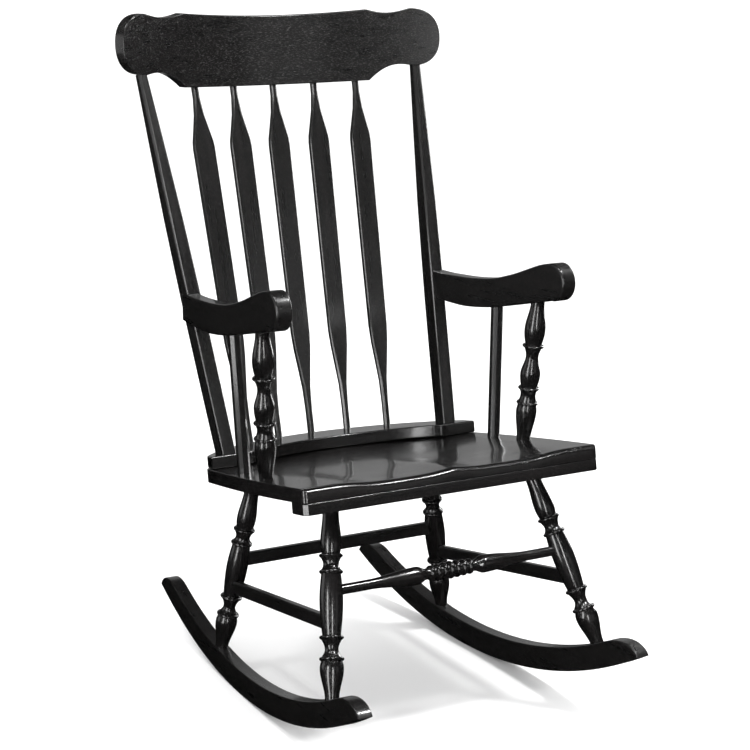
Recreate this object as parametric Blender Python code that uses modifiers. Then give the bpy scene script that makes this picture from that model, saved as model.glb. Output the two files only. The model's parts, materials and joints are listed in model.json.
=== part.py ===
"""Arrow-back rocking chair: an assembly of separate wooden pieces, in metres, +Z up.

The chair faces -Y and stands on the floor at Z = 0, with the middle of its footprint at the
origin. Each wooden piece is its own object; tenons sit in sockets with a small clearance.
"""

import math

import bmesh
import bpy
from mathutils import Matrix, Vector

CLEARANCE = 0.0003

# How far a hidden end or a cutter runs past the face that it meets.
OVERRUN = 0.012

# Seat: a flat plank that slopes down to the back, a strip under its front edge, a raised rail behind.
SEAT_HEIGHT = 0.4485
SEAT_FRONT_Y = -0.265
SEAT_SLOPE = math.radians(9.5)
SEAT_HALF_WIDTH = 0.2735
SEAT_TAPER = 0.0115
SEAT_SIDE_BULGE = 0.008
SEAT_DEPTH = 0.530
SEAT_BACK_SWEEP = 0.141
SEAT_BACK_CORNER = (0.004, 0.0097)
SEAT_CORNER = 0.010
PLANK_THICKNESS = 0.0235
STRIP_HEIGHT = 0.0185
STRIP_DEPTH = 0.045
STRIP_INSET = 0.001
RAIL_HEIGHT = 0.022
RAIL_FROM_SIDE = 0.0130
RAIL_FROM_EDGE = 0.002
RAIL_END_FROM_BACK = 0.163
RAIL_MIDDLE_FROM_BACK = 0.103
RAIL_END_LENGTH = 0.067
RAIL_STEP = 0.014

# Back: two posts, five arrow spindles and a bent crest rail.
POST_FROM_SIDE = 0.0535
POST_FROM_BACK = 0.028
POST_TOP_FROM_LOBE = 0.006
POST_TOP_SEATING = 0.0015
POST_TENON_RADIUS = 0.0065
POST_TENON_LENGTH = 0.030
POST_HEAD_TENON_RADIUS = 0.0050
POST_HEAD_TENON_LENGTH = 0.022
SPINDLE_BASE_PITCH = 0.0695
SPINDLE_TOP_PITCH = 0.0805
SPINDLE_COUNT = 5
SPINDLE_FROM_BACK = 0.020
SPINDLE_NECK = 0.012
SPINDLE_PADDLE_WIDTH = 0.040
SPINDLE_PADDLE_THICKNESS = 0.011
SPINDLE_SOCKET_DEPTH = 0.017
CREST_ABOVE_SEAT = 0.6225
CREST_Y = 0.3900
CREST_TILT = math.radians(4.0)
CREST_BEND = 0.62
CREST_THICKNESS = 0.022
CREST_PANEL_HALF_WIDTH = 0.1860
CREST_PANEL_TOP = 0.0585
CREST_PANEL_BOTTOM = -0.0615
CREST_PANEL_BOW = 0.008
CREST_BOTTOM_BOW = 0.4
CREST_SCOOP_DEPTH = 0.007
CREST_LOBE_X = 0.2665
CREST_LOBE_HALF_WIDTH = 0.0500
CREST_LOBE_TOP = 0.0680
CREST_LOBE_BOTTOM = -0.0360
CREST_LOBE_POWER = 2.3
CREST_TIP_SHARE = 0.04
CREST_NECK_POWER = 2.2
CREST_NECK_ARCH = 0.006

# Arms: boards on edge, each on one turned baluster and one plain stick.
ARM_THICKNESS = 0.027
ARM_ABOVE_SEAT = 0.2245
ARM_FRONT_FROM_SIDE = 0.0115
ARM_LAP = 0.0135
ARM_INNER_STEP = 0.001
BALUSTER_FROM_SIDE = 0.0265
BALUSTER_AHEAD_OF_STICK = 0.092
BALUSTER_ARM_REACH = 0.3205
BALUSTER_RADIUS = 0.0123
STICK_FROM_SIDE = 0.0295
STICK_FROM_RAIL = 0.090
STICK_ARM_REACH = 0.2014
STICK_SIZE = 0.020
STICK_CHAMFER = 0.0055
ARM_TENON_RADIUS = 0.007
ARM_TENON_LENGTH = 0.016
SEAT_SOCKET_DEPTH = 0.016

# Undercarriage: four turned legs, four stretchers and two runners.
LEG_TOP_RADIUS = 0.0125
LEG_FOOT_RADIUS = 0.0112
FRONT_LEG_FROM_SIDE = 0.0885
FRONT_LEG_FROM_FRONT = 0.083
BACK_LEG_FROM_SIDE = 0.1005
BACK_LEG_FROM_BACK = 0.138
FRONT_FOOT_FROM_TIP = 0.119
BACK_FOOT_FROM_TIP = 0.278
FOOT_TENON_RADIUS = 0.0065
FOOT_TENON_LENGTH = 0.014
# Where each stretcher meets its legs, as a share of the leg's height from the seat, on a plain stretch.
FRONT_STRETCHER_SHARE = 0.485
FRONT_STRETCHER_RADIUS = 0.0083
SIDE_STRETCHER_FRONT_SHARE = 0.641
SIDE_STRETCHER_BACK_SHARE = 0.645
BACK_STRETCHER_SHARE = 0.490
STRETCHER_SIZE = (0.015, 0.023)
STRETCHER_CHAMFER = 0.003
STRETCHER_TENON_RADIUS = 0.005
STRETCHER_TENON_DEPTH = 0.009
STRETCHER_SHOULDER = 0.006
LEG_BARREL_RADIUS = 0.0183
RUNNER_RADIUS = 0.948
RUNNER_LENGTH = 0.862
RUNNER_HEIGHT = 0.042
RUNNER_THICKNESS = 0.025
RUNNER_FROM_SIDE = 0.0400
RUNNER_TOE_IN = math.radians(2.9)
RUNNER_NOSE = 0.055
RUNNER_HEEL = 0.045
RUNNER_FACET = 0.038
BALANCE_Y = 0.056

# Screws and bolts.
SCREW_RADIUS = 0.0020
SCREW_HEAD_RADIUS = 0.0045
SCREW_HEAD_HEIGHT = 0.0035
RUNNER_SCREW_LENGTH = 0.058
RAIL_SCREW_LENGTH = 0.034
RAIL_SCREW_X = 0.104
RAIL_SCREW_FROM_BACK = 0.050
ARM_BOLT_RADIUS = 0.0030
ARM_BOLT_HEAD_RADIUS = 0.0065
ARM_BOLT_HEAD_HEIGHT = 0.0040
ARM_BOLT_REACH = 0.045
ARM_BOLT_BELOW = 0.022
ARM_BOLT_SUNK = 0.004
COUNTERBORE = 0.0010

# Worked out from the sizes above.
SEAT_SIDE_DEPTH = SEAT_DEPTH - SEAT_BACK_SWEEP
RAIL_HALF_WIDTH = SEAT_HALF_WIDTH - RAIL_FROM_SIDE
RAIL_STRAIGHT_END = RAIL_HALF_WIDTH - RAIL_END_LENGTH
RAIL_END_FRONT = SEAT_DEPTH - RAIL_END_FROM_BACK
RAIL_MIDDLE_FRONT = SEAT_DEPTH - RAIL_MIDDLE_FROM_BACK
POST_BASE_X = SEAT_HALF_WIDTH - POST_FROM_SIDE
POST_TOP_X = CREST_LOBE_X + POST_TOP_FROM_LOBE
CREST_HEIGHT = SEAT_HEIGHT + CREST_ABOVE_SEAT
ARM_HEIGHT = SEAT_HEIGHT + ARM_ABOVE_SEAT
RUNNER_X = SEAT_HALF_WIDTH - RUNNER_FROM_SIDE

TURN_STEPS = 14
ROUND_SEGMENTS = 12
# A hole drawn with flats is this much larger than the round piece that it clears.
ROUND_OUT = 1 / math.cos(math.pi / ROUND_SEGMENTS)
SIDES = (("left", -1), ("right", 1))

# Turned shapes, as (share of the length from the top, radius).
LEG_TURNING = (
    (0.00, LEG_TOP_RADIUS), (0.10, 0.0132), (0.23, 0.0168), (0.285, 0.0150),
    (0.304, 0.0182), (0.318, 0.0182), (0.338, 0.0130), (0.365, 0.0130),
    (0.383, 0.0182), (0.397, 0.0182), (0.418, 0.0160), (0.480, LEG_BARREL_RADIUS - 0.0003),
    (0.540, LEG_BARREL_RADIUS),
    (0.680, 0.0155), (0.699, 0.0185), (0.713, 0.0185), (0.735, 0.0122), (0.775, 0.0118),
    (0.802, 0.0190), (0.816, 0.0190), (0.833, 0.0165), (0.858, 0.0184), (0.885, 0.0175),
    (0.945, 0.0142), (1.00, LEG_FOOT_RADIUS),
)
BALUSTER_TURNING = (
    (0.00, BALUSTER_RADIUS), (0.12, 0.0142), (0.20, 0.0172), (0.24, 0.0175), (0.30, 0.0131),
    (0.318, 0.0175), (0.332, 0.0175), (0.36, 0.0112), (0.44, 0.0145), (0.52, 0.0169), (0.605, 0.0142),
    (0.624, 0.0175), (0.638, 0.0175), (0.670, 0.0130), (0.705, 0.0145),
    (0.723, 0.0180), (0.737, 0.0180), (0.755, 0.0160), (0.80, 0.0172), (0.90, 0.0145),
    (1.00, BALUSTER_RADIUS),
)
# The front stretcher, as (distance from its middle, radius), the same on both sides.
STRETCHER_TURNING = (
    (0.000, 0.0145), (0.004, 0.0140), (0.007, 0.0105), (0.012, 0.0138), (0.017, 0.0102),
    (0.024, 0.0132), (0.030, 0.0098), (0.036, 0.0125), (0.044, 0.0092),
    (0.052, 0.0128), (0.062, 0.0146), (0.074, 0.0135), (0.100, 0.0112), (0.140, FRONT_STRETCHER_RADIUS),
)
# Arrow spindles, as (share of the length from the rail, width, thickness, chamfer).
SPINDLE_SHAPE = (
    (0.000, SPINDLE_NECK, SPINDLE_NECK, 0.0035), (0.135, SPINDLE_NECK, SPINDLE_NECK, 0.0035),
    (0.215, 0.025, 0.0115, 0.0025), (0.290, 0.0355, SPINDLE_PADDLE_THICKNESS, 0.0020),
    (0.520, 0.0380, SPINDLE_PADDLE_THICKNESS, 0.0020),
    (0.815, SPINDLE_PADDLE_WIDTH, SPINDLE_PADDLE_THICKNESS, 0.0020),
    (0.835, 0.037, SPINDLE_PADDLE_THICKNESS, 0.0020), (0.900, 0.018, 0.0118, 0.0030),
    (0.945, SPINDLE_NECK, SPINDLE_NECK, 0.0035), (1.000, SPINDLE_NECK, SPINDLE_NECK, 0.0035),
)
# The post's swell, as (share from the rail, width, depth, chamfer).
POST_SHAPE = (
    (0.00, 0.0250, 0.0330, 0.0018), (0.35, 0.0262, 0.0352, 0.0024), (0.62, 0.0246, 0.0330, 0.0034),
    (0.82, 0.0208, 0.0275, 0.0044), (1.00, 0.0168, 0.0205, 0.0048),
)
# The arm's upper and lower edges, as (distance forward of the post, height from the arm's back end).
ARM_UPPER = (
    (0.000, -0.001), (0.045, -0.001), (0.086, 0.001), (0.130, 0.004), (0.180, 0.010), (0.214, 0.0165),
    (0.262, 0.030), (0.295, 0.0415), (0.327, 0.053), (0.345, 0.0585), (0.361, 0.0622),
)
ARM_LOWER = (
    (0.362, -0.0025), (0.318, -0.0125), (0.272, -0.0232), (0.195, -0.0396), (0.124, -0.0493),
    (0.075, -0.0508), (0.035, -0.050), (0.000, -0.0485),
)
ARM_KNUCKLE = (0.3765, 0.0325, 0.0320)

for old in list(bpy.data.objects):
    bpy.data.objects.remove(old, do_unlink=True)

chair = bpy.data.collections.new("rocking_chair")
cutters = bpy.data.collections.new("cutters")
for group in (chair, cutters):
    bpy.context.scene.collection.children.link(group)
cutters.hide_render = True


def linear(level):
    """One sRGB channel, from 0 to 1, as a linear value."""
    return level / 12.92 if level <= 0.04045 else ((level + 0.055) / 1.055) ** 2.4


def material(name, grey, roughness, metallic):
    made = bpy.data.materials.new(name)
    made.use_nodes = True
    shader = made.node_tree.nodes["Principled BSDF"]
    shader.inputs["Base Color"].default_value = (linear(grey), linear(grey), linear(grey), 1)
    shader.inputs["Roughness"].default_value = roughness
    shader.inputs["Metallic"].default_value = metallic
    return made


def piece(name, mesh, grey=0.055, roughness=0.32, metallic=0.0):
    """A finished part: an object in the chair's collection with a material of its own."""
    made = bpy.data.objects.new(name, mesh)
    mesh.materials.clear()
    mesh.materials.append(material(name, grey, roughness, metallic))
    chair.objects.link(made)
    return made


def tool(name, mesh):
    """A cutter or a tenon that a Boolean uses and that isn't drawn."""
    made = bpy.data.objects.new(name, mesh)
    made.hide_render = True
    made.display_type = "WIRE"
    cutters.objects.link(made)
    return made


def boolean(target, other, operation="DIFFERENCE"):
    modifier = target.modifiers.new(other.name, "BOOLEAN")
    modifier.operation = operation
    modifier.solver = "EXACT"
    modifier.object = other


def along(start, end, across=Vector((1, 0, 0))):
    """A matrix at start whose Z runs to end and whose X lies nearest to across."""
    z = (end - start).normalized()
    y = z.cross(across).normalized()
    matrix = Matrix((y.cross(z), y, z)).transposed().to_4x4()
    matrix.translation = start
    return matrix


def mesh_from(name, build, matrix=Matrix()):
    """A mesh that build() shapes in a bmesh, then placed by matrix."""
    shape = bmesh.new()
    build(shape)
    shape.transform(matrix)
    mesh = bpy.data.meshes.new(name)
    shape.to_mesh(mesh)
    shape.free()
    return mesh


def face_outwards(shape):
    bmesh.ops.recalc_face_normals(shape, faces=shape.faces)
    if shape.calc_volume(signed=True) < 0:
        bmesh.ops.reverse_faces(shape, faces=shape.faces)


def rod_mesh(name, start, end, radius):
    length = (end - start).length

    def build(shape):
        bmesh.ops.create_cone(
            shape, cap_ends=True, segments=ROUND_SEGMENTS, radius1=radius, radius2=radius, depth=length,
            matrix=Matrix.Translation((0, 0, length / 2)),
        )

    across = Vector((0, 1, 0)) if abs((end - start).normalized().x) > 0.9 else Vector((1, 0, 0))
    return mesh_from(name, build, along(start, end, across))


def bore(target, name, start, end, radius):
    boolean(target, tool(name, rod_mesh(name, start, end, radius + CLEARANCE)))


def trim(target, name, point, keep):
    """Cuts the target flat through point, and keeps the side that keep points to."""
    reach = 0.12

    def build(shape):
        bmesh.ops.create_cube(shape, size=reach, matrix=Matrix.Translation((0, 0, -reach / 2)))

    start = Vector(point)
    cut = tool(name, mesh_from(name, build, along(start, start + Vector(keep))))
    boolean(target, cut)


def tenon(target, name, start, end, radius):
    boolean(target, tool(name, rod_mesh(name, start, end, radius)), "UNION")


def turned(name, profile, matrix, **looks):
    """A solid of revolution about the matrix's Z, from (radius, height) points, top to bottom."""
    points = [(0, profile[0][1]), *profile, (0, profile[-1][1])]

    def build(shape):
        line = [shape.verts.new((radius, 0, height)) for radius, height in points]
        for first, second in zip(line, line[1:]):
            shape.edges.new((first, second))

    made = piece(name, mesh_from(name, build), **looks)
    made.matrix_world = matrix
    screw = made.modifiers.new("turned", "SCREW")
    screw.steps = TURN_STEPS
    screw.render_steps = TURN_STEPS
    screw.use_merge_vertices = True
    screw.merge_threshold = 0.00001
    screw.use_smooth_shade = True
    return made


def section(width, depth, chamfer):
    """The eight corners of a chamfered rectangle about the axis."""
    w, d = width / 2, depth / 2
    return [
        (w, chamfer - d), (w, d - chamfer), (w - chamfer, d), (chamfer - w, d),
        (-w, d - chamfer), (-w, chamfer - d), (chamfer - w, -d), (w - chamfer, -d),
    ]


def loft(rings):
    """A closed skin through rings that have the same number of points, with flat ends."""

    def build(shape):
        rows = [[shape.verts.new(point) for point in ring] for ring in rings]
        for low, high in zip(rows, rows[1:]):
            for i in range(len(low)):
                j = (i + 1) % len(low)
                shape.faces.new((low[i], low[j], high[j], high[i]))
        shape.faces.new(reversed(rows[0]))
        shape.faces.new(rows[-1])
        face_outwards(shape)

    return build


def tapered(name, stations, matrix):
    """A mesh through chamfered sections, given as (height, width, depth, chamfer)."""
    rings = [[(x, y, h) for x, y in section(w, d, c)] for h, w, d, c in stations]
    return mesh_from(name, loft(rings), matrix)


def plate(name, outline, low, high, matrix=Matrix()):
    """A flat outline in X and Y, made solid between two heights."""
    curve = bpy.data.curves.new(name, "CURVE")
    curve.dimensions = "2D"
    curve.fill_mode = "BOTH"
    curve.extrude = (high - low) / 2
    spline = curve.splines.new("POLY")
    spline.points.add(len(outline) - 1)
    for target, (x, y) in zip(spline.points, outline):
        target.co = (x, y, 0, 1)
    spline.use_cyclic_u = True
    flat = bpy.data.objects.new(name, curve)
    bpy.context.scene.collection.objects.link(flat)
    bpy.context.view_layer.update()
    graph = bpy.context.evaluated_depsgraph_get()
    mesh = bpy.data.meshes.new_from_object(flat.evaluated_get(graph))
    bpy.data.objects.remove(flat)
    shape = bmesh.new()
    shape.from_mesh(mesh)
    bmesh.ops.remove_doubles(shape, verts=shape.verts, dist=0.00001)
    shape.transform(matrix @ Matrix.Translation((0, 0, (low + high) / 2)))
    face_outwards(shape)
    shape.to_mesh(mesh)
    shape.free()
    return mesh


def smooth_line(points, steps=3):
    """Points along a smooth curve through the given ones."""
    ends = [points[0], *points, points[-1]]
    line = []
    for a, b, c, d in zip(ends, ends[1:], ends[2:], ends[3:]):
        for step in range(steps):
            t = step / steps
            weights = (
                -t / 2 + t * t - t**3 / 2, 1 - 2.5 * t * t + 1.5 * t**3,
                t / 2 + 2 * t * t - 1.5 * t**3, (t**3 - t * t) / 2,
            )
            line.append(tuple(sum(w * p[i] for w, p in zip(weights, (a, b, c, d))) for i in (0, 1)))
    return [*line, points[-1]]


def arc(centre, radius, first, last, steps):
    """Points on an arc, from the angle first to last in degrees."""
    angles = [math.radians(first + (last - first) * i / steps) for i in range(steps + 1)]
    return [(centre[0] + radius * math.cos(a), centre[1] + radius * math.sin(a)) for a in angles]


# ---- Seat -------------------------------------------------------------------------------------

seat_frame = Matrix.Translation((0, SEAT_FRONT_Y, SEAT_HEIGHT)) @ Matrix.Rotation(-SEAT_SLOPE, 4, "X")
seat_up = seat_frame.to_3x3() @ Vector((0, 0, 1))
back_half_width = SEAT_HALF_WIDTH - SEAT_TAPER - SEAT_BACK_CORNER[0]
back_sagitta = SEAT_BACK_SWEEP - SEAT_BACK_CORNER[1]
back_radius = (back_half_width**2 + back_sagitta**2) / (2 * back_sagitta)
back_centre_y = SEAT_DEPTH - back_radius


def on_seat(x, y, z=0.0):
    """A point given in the seat's own frame: y back from the front edge, z above the plank."""
    return seat_frame @ Vector((x, y, z))


def seat_back_y(x, inset=0.0):
    """How far back the plank's round back edge lies at x, less an inset along its radius."""
    return back_centre_y + math.sqrt((back_radius - inset) ** 2 - x * x)


def side_x(y):
    """Half the plank's width at y: the sides bow out a little."""
    share = y / SEAT_SIDE_DEPTH
    return SEAT_HALF_WIDTH - SEAT_TAPER * share + SEAT_SIDE_BULGE * math.sin(math.pi * share)


def back_arc(inset, half_width, steps):
    """The round back edge, from the right end to the left one."""
    radius = back_radius - inset
    end = math.degrees(math.acos(half_width / radius))
    return arc((0, back_centre_y), radius, end, 180 - end, steps)


def seat_outline():
    corner = arc((SEAT_HALF_WIDTH - SEAT_CORNER, SEAT_CORNER), SEAT_CORNER, -90, 0, 4)
    heights = [SEAT_CORNER + (SEAT_SIDE_DEPTH - SEAT_CORNER) * i / 8 for i in range(1, 9)]
    right = corner + [(side_x(y), y) for y in heights]
    left = [(-x, y) for x, y in reversed(right)]
    return right + back_arc(0, back_half_width, 20) + left


def rail_outline():
    """Straight beside the posts, then stepped back and hollowed along the front."""
    hollow_end = RAIL_STRAIGHT_END - RAIL_STEP
    front = [(RAIL_STRAIGHT_END, RAIL_END_FRONT), (RAIL_HALF_WIDTH, RAIL_END_FRONT)]
    steps = 10
    hollow = []
    for i in range(steps + 1):
        x = -hollow_end + 2 * hollow_end * i / steps
        depth = (RAIL_MIDDLE_FRONT - RAIL_END_FRONT - RAIL_STEP) * (1 - (x / hollow_end) ** 2)
        hollow.append((x, RAIL_END_FRONT + RAIL_STEP + depth))
    left = [(-x, y) for x, y in reversed(front)]
    return left + hollow + front + back_arc(RAIL_FROM_EDGE, RAIL_HALF_WIDTH - SEAT_BACK_CORNER[0], 20)


seat_plank = piece("seat_plank", plate("seat_plank", seat_outline(), -PLANK_THICKNESS, 0, seat_frame))
strip_half = SEAT_HALF_WIDTH - STRIP_INSET
strip_outline = [(-strip_half, 0), (strip_half, 0), (strip_half, STRIP_DEPTH), (-strip_half, STRIP_DEPTH)]
strip_top = -PLANK_THICKNESS - CLEARANCE
piece(
    "seat_front_strip",
    plate("seat_front_strip", strip_outline, strip_top - STRIP_HEIGHT, strip_top, seat_frame),
)
seat_back_rail = piece(
    "seat_back_rail", plate("seat_back_rail", rail_outline(), CLEARANCE, RAIL_HEIGHT, seat_frame)
)


# ---- Crest rail -------------------------------------------------------------------------------


def lobe(x, height):
    """The rounded end of the crest: full height over its middle, closing at its tip."""
    share = min(1.0, abs(abs(x) - CREST_LOBE_X) / CREST_LOBE_HALF_WIDTH)
    middle = (CREST_LOBE_TOP + CREST_LOBE_BOTTOM) / 2
    closing = max(CREST_TIP_SHARE, 1 - share**CREST_LOBE_POWER) ** (1 / CREST_LOBE_POWER)
    return middle + (height - middle) * closing


def crest_edges(x):
    """The crest's lowest and highest point at x, measured from its middle height."""
    reach = abs(x)
    if reach <= CREST_PANEL_HALF_WIDTH:
        bow = CREST_PANEL_BOW * (1 - (x / CREST_PANEL_HALF_WIDTH) ** 2)
        return CREST_PANEL_BOTTOM - bow * CREST_BOTTOM_BOW, CREST_PANEL_TOP + CREST_PANEL_BOW - bow
    if reach >= CREST_LOBE_X:
        return lobe(x, CREST_LOBE_BOTTOM), lobe(x, CREST_LOBE_TOP)
    share = (reach - CREST_PANEL_HALF_WIDTH) / (CREST_LOBE_X - CREST_PANEL_HALF_WIDTH)
    rise = 1 - (1 - share) ** CREST_NECK_POWER
    arch = CREST_NECK_ARCH * math.sin(math.pi * share)
    bottom = CREST_PANEL_BOTTOM + (CREST_LOBE_BOTTOM - CREST_PANEL_BOTTOM) * rise + arch
    top = CREST_PANEL_TOP + CREST_PANEL_BOW + (CREST_LOBE_TOP - CREST_PANEL_TOP - CREST_PANEL_BOW) * share
    return bottom, top - CREST_SCOOP_DEPTH * math.sin(math.pi * share)


def crest_point(x, height, depth):
    """A point of the bent, tilted crest: height above its middle, depth square to its bend."""
    middle = Vector((x, CREST_Y - CREST_BEND * x * x + height * math.tan(CREST_TILT), CREST_HEIGHT + height))
    return middle + Vector((2 * CREST_BEND * x, 1, 0)).normalized() * depth


def crest_stations():
    panel = [CREST_PANEL_HALF_WIDTH * i / 8 for i in range(9)]
    neck = [CREST_PANEL_HALF_WIDTH + (CREST_LOBE_X - CREST_PANEL_HALF_WIDTH) * i / 6 for i in range(1, 7)]
    tip = [CREST_LOBE_X + CREST_LOBE_HALF_WIDTH * math.sin(math.pi / 2 * i / 7) for i in range(1, 8)]
    right = panel + neck + tip
    return [-x for x in reversed(right[1:])] + right


def crest_mesh():
    rings = []
    half = CREST_THICKNESS / 2
    for x in crest_stations():
        low, high = crest_edges(x)
        corners = ((low, -half), (low, half), (high, half), (high, -half))
        rings.append([crest_point(x, height, depth) for height, depth in corners])
    return mesh_from("crest_rail", loft(rings))


crest_rail = piece("crest_rail", crest_mesh())


# ---- Posts and spindles -----------------------------------------------------------------------


def post_ends(side):
    """The post's axis, where it meets the top of the rail and the underside of the crest."""
    x = side * POST_BASE_X
    base = on_seat(x, seat_back_y(x, POST_FROM_BACK), RAIL_HEIGHT + CLEARANCE)
    bottom = crest_edges(POST_TOP_X)[0]
    return base, crest_point(side * POST_TOP_X, bottom, 0)


def post_size(share):
    """The post's width, depth and chamfer at a share of its height."""
    share = min(1.0, max(0.0, share))
    for (low, *small), (high, *large) in zip(POST_SHAPE, POST_SHAPE[1:]):
        if share <= high:
            part = (share - low) / (high - low)
            return [a + (b - a) * part for a, b in zip(small, large)]
    return POST_SHAPE[-1][1:]


def post_mesh(name, side, extra):
    """The swelled post, grown by extra all round, running past both of its ends."""
    base, top = post_ends(side)
    length = (top - base).length
    over = 2 * OVERRUN / length
    stations = []
    for share in (-over, *(entry[0] for entry in POST_SHAPE), 1 + over):
        width, depth, chamfer = post_size(share)
        stations.append((share * length, width + 2 * extra, depth + 2 * extra, chamfer))
    return tapered(name, stations, along(base, top))


for label, side in SIDES:
    name = "back_post_" + label
    base, top = post_ends(side)
    axis = (top - base).normalized()
    post = piece(name, post_mesh(name, side, 0))
    trim(post, name + "_base_cut", base + seat_up * CLEARANCE, seat_up)
    trim(post, name + "_top_cut", top - Vector((0, 0, POST_TOP_SEATING)), (0, 0, -1))
    foot_end = base - axis * POST_TENON_LENGTH
    head_end = top + axis * POST_HEAD_TENON_LENGTH
    tenon(post, name + "_base_tenon", foot_end, base + axis * OVERRUN, POST_TENON_RADIUS)
    tenon(post, name + "_top_tenon", top - axis * OVERRUN, head_end, POST_HEAD_TENON_RADIUS)
    socket = (foot_end - axis * CLEARANCE, base + axis * OVERRUN, POST_TENON_RADIUS)
    bore(seat_back_rail, name + "_rail_socket", *socket)
    bore(seat_plank, name + "_plank_socket", *socket)
    socket = (top - axis * OVERRUN, head_end + axis * CLEARANCE, POST_HEAD_TENON_RADIUS)
    bore(crest_rail, name + "_crest_socket", *socket)

for index in range(SPINDLE_COUNT):
    place = index - (SPINDLE_COUNT - 1) / 2
    name = f"spindle_{index + 1}"
    x = place * SPINDLE_BASE_PITCH
    base = on_seat(x, seat_back_y(x, SPINDLE_FROM_BACK), RAIL_HEIGHT)
    x = place * SPINDLE_TOP_PITCH
    top = crest_point(x, crest_edges(x)[0], 0)
    axis = (top - base).normalized()
    start = base - axis * SPINDLE_SOCKET_DEPTH
    end = top + axis * SPINDLE_SOCKET_DEPTH
    length = (end - start).length
    stations = [(share * length, w, t, c) for share, w, t, c in SPINDLE_SHAPE]
    piece(name, tapered(name, stations, along(start, end)))
    radius = SPINDLE_NECK / 2 / math.cos(math.pi / 8)
    bore(seat_back_rail, name + "_rail_socket", start - axis * CLEARANCE, base + axis * OVERRUN, radius)
    bore(crest_rail, name + "_crest_socket", top - axis * OVERRUN, end + axis * CLEARANCE, radius)


# ---- Arms -------------------------------------------------------------------------------------


def arm_outline():
    """The arm's side view: forward along X, up along Y, with a round knuckle at the front."""
    x, y, radius = ARM_KNUCKLE
    upper = smooth_line(ARM_UPPER)
    lower = smooth_line(ARM_LOWER)
    start = math.degrees(math.atan2(ARM_UPPER[-1][1] - y, ARM_UPPER[-1][0] - x))
    end = math.degrees(math.atan2(ARM_LOWER[0][1] - y, ARM_LOWER[0][0] - x))
    knuckle = arc((x, y), radius, start - 8, end + 8, 14)
    return upper + knuckle + lower


def arm_underside(distance):
    """The height of the arm's lower edge at a distance forward of the post."""
    line = smooth_line(ARM_LOWER)
    for (x1, y1), (x0, y0) in zip(line, line[1:]):
        if x0 <= distance <= x1:
            return y0 + (y1 - y0) * (distance - x0) / (x1 - x0)
    return ARM_LOWER[0][1]


def post_at(side, height):
    base, top = post_ends(side)
    return base + (top - base) * ((height - base.z) / (top.z - base.z))


def post_half(side, height):
    """Half the post's width and half its depth at a height above the floor."""
    base, top = post_ends(side)
    width, depth, _ = post_size((height - base.z) / (top.z - base.z))
    return width / 2, depth / 2


def arm_place(side):
    """The arm's frame: X forward along it, Y up, at its back end beside the post."""
    post = post_at(side, ARM_HEIGHT)
    half_width, half_depth = post_half(side, ARM_HEIGHT)
    inner = abs(post.x) - half_width + ARM_INNER_STEP
    back_y = post.y - half_depth + ARM_LAP
    back = Vector((side * (inner + ARM_THICKNESS / 2), back_y, ARM_HEIGHT))
    front_x = side * (SEAT_HALF_WIDTH - ARM_FRONT_FROM_SIDE)
    forward = Vector((front_x - back.x, -ARM_KNUCKLE[0], 0)).normalized()
    matrix = Matrix((forward, (0, 0, 1), forward.cross(Vector((0, 0, 1))))).transposed().to_4x4()
    matrix.translation = back
    return matrix


def arm_foot(frame, distance):
    """The point under the arm's middle at a distance forward of the post."""
    return frame @ Vector((distance, arm_underside(distance), 0))


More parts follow.
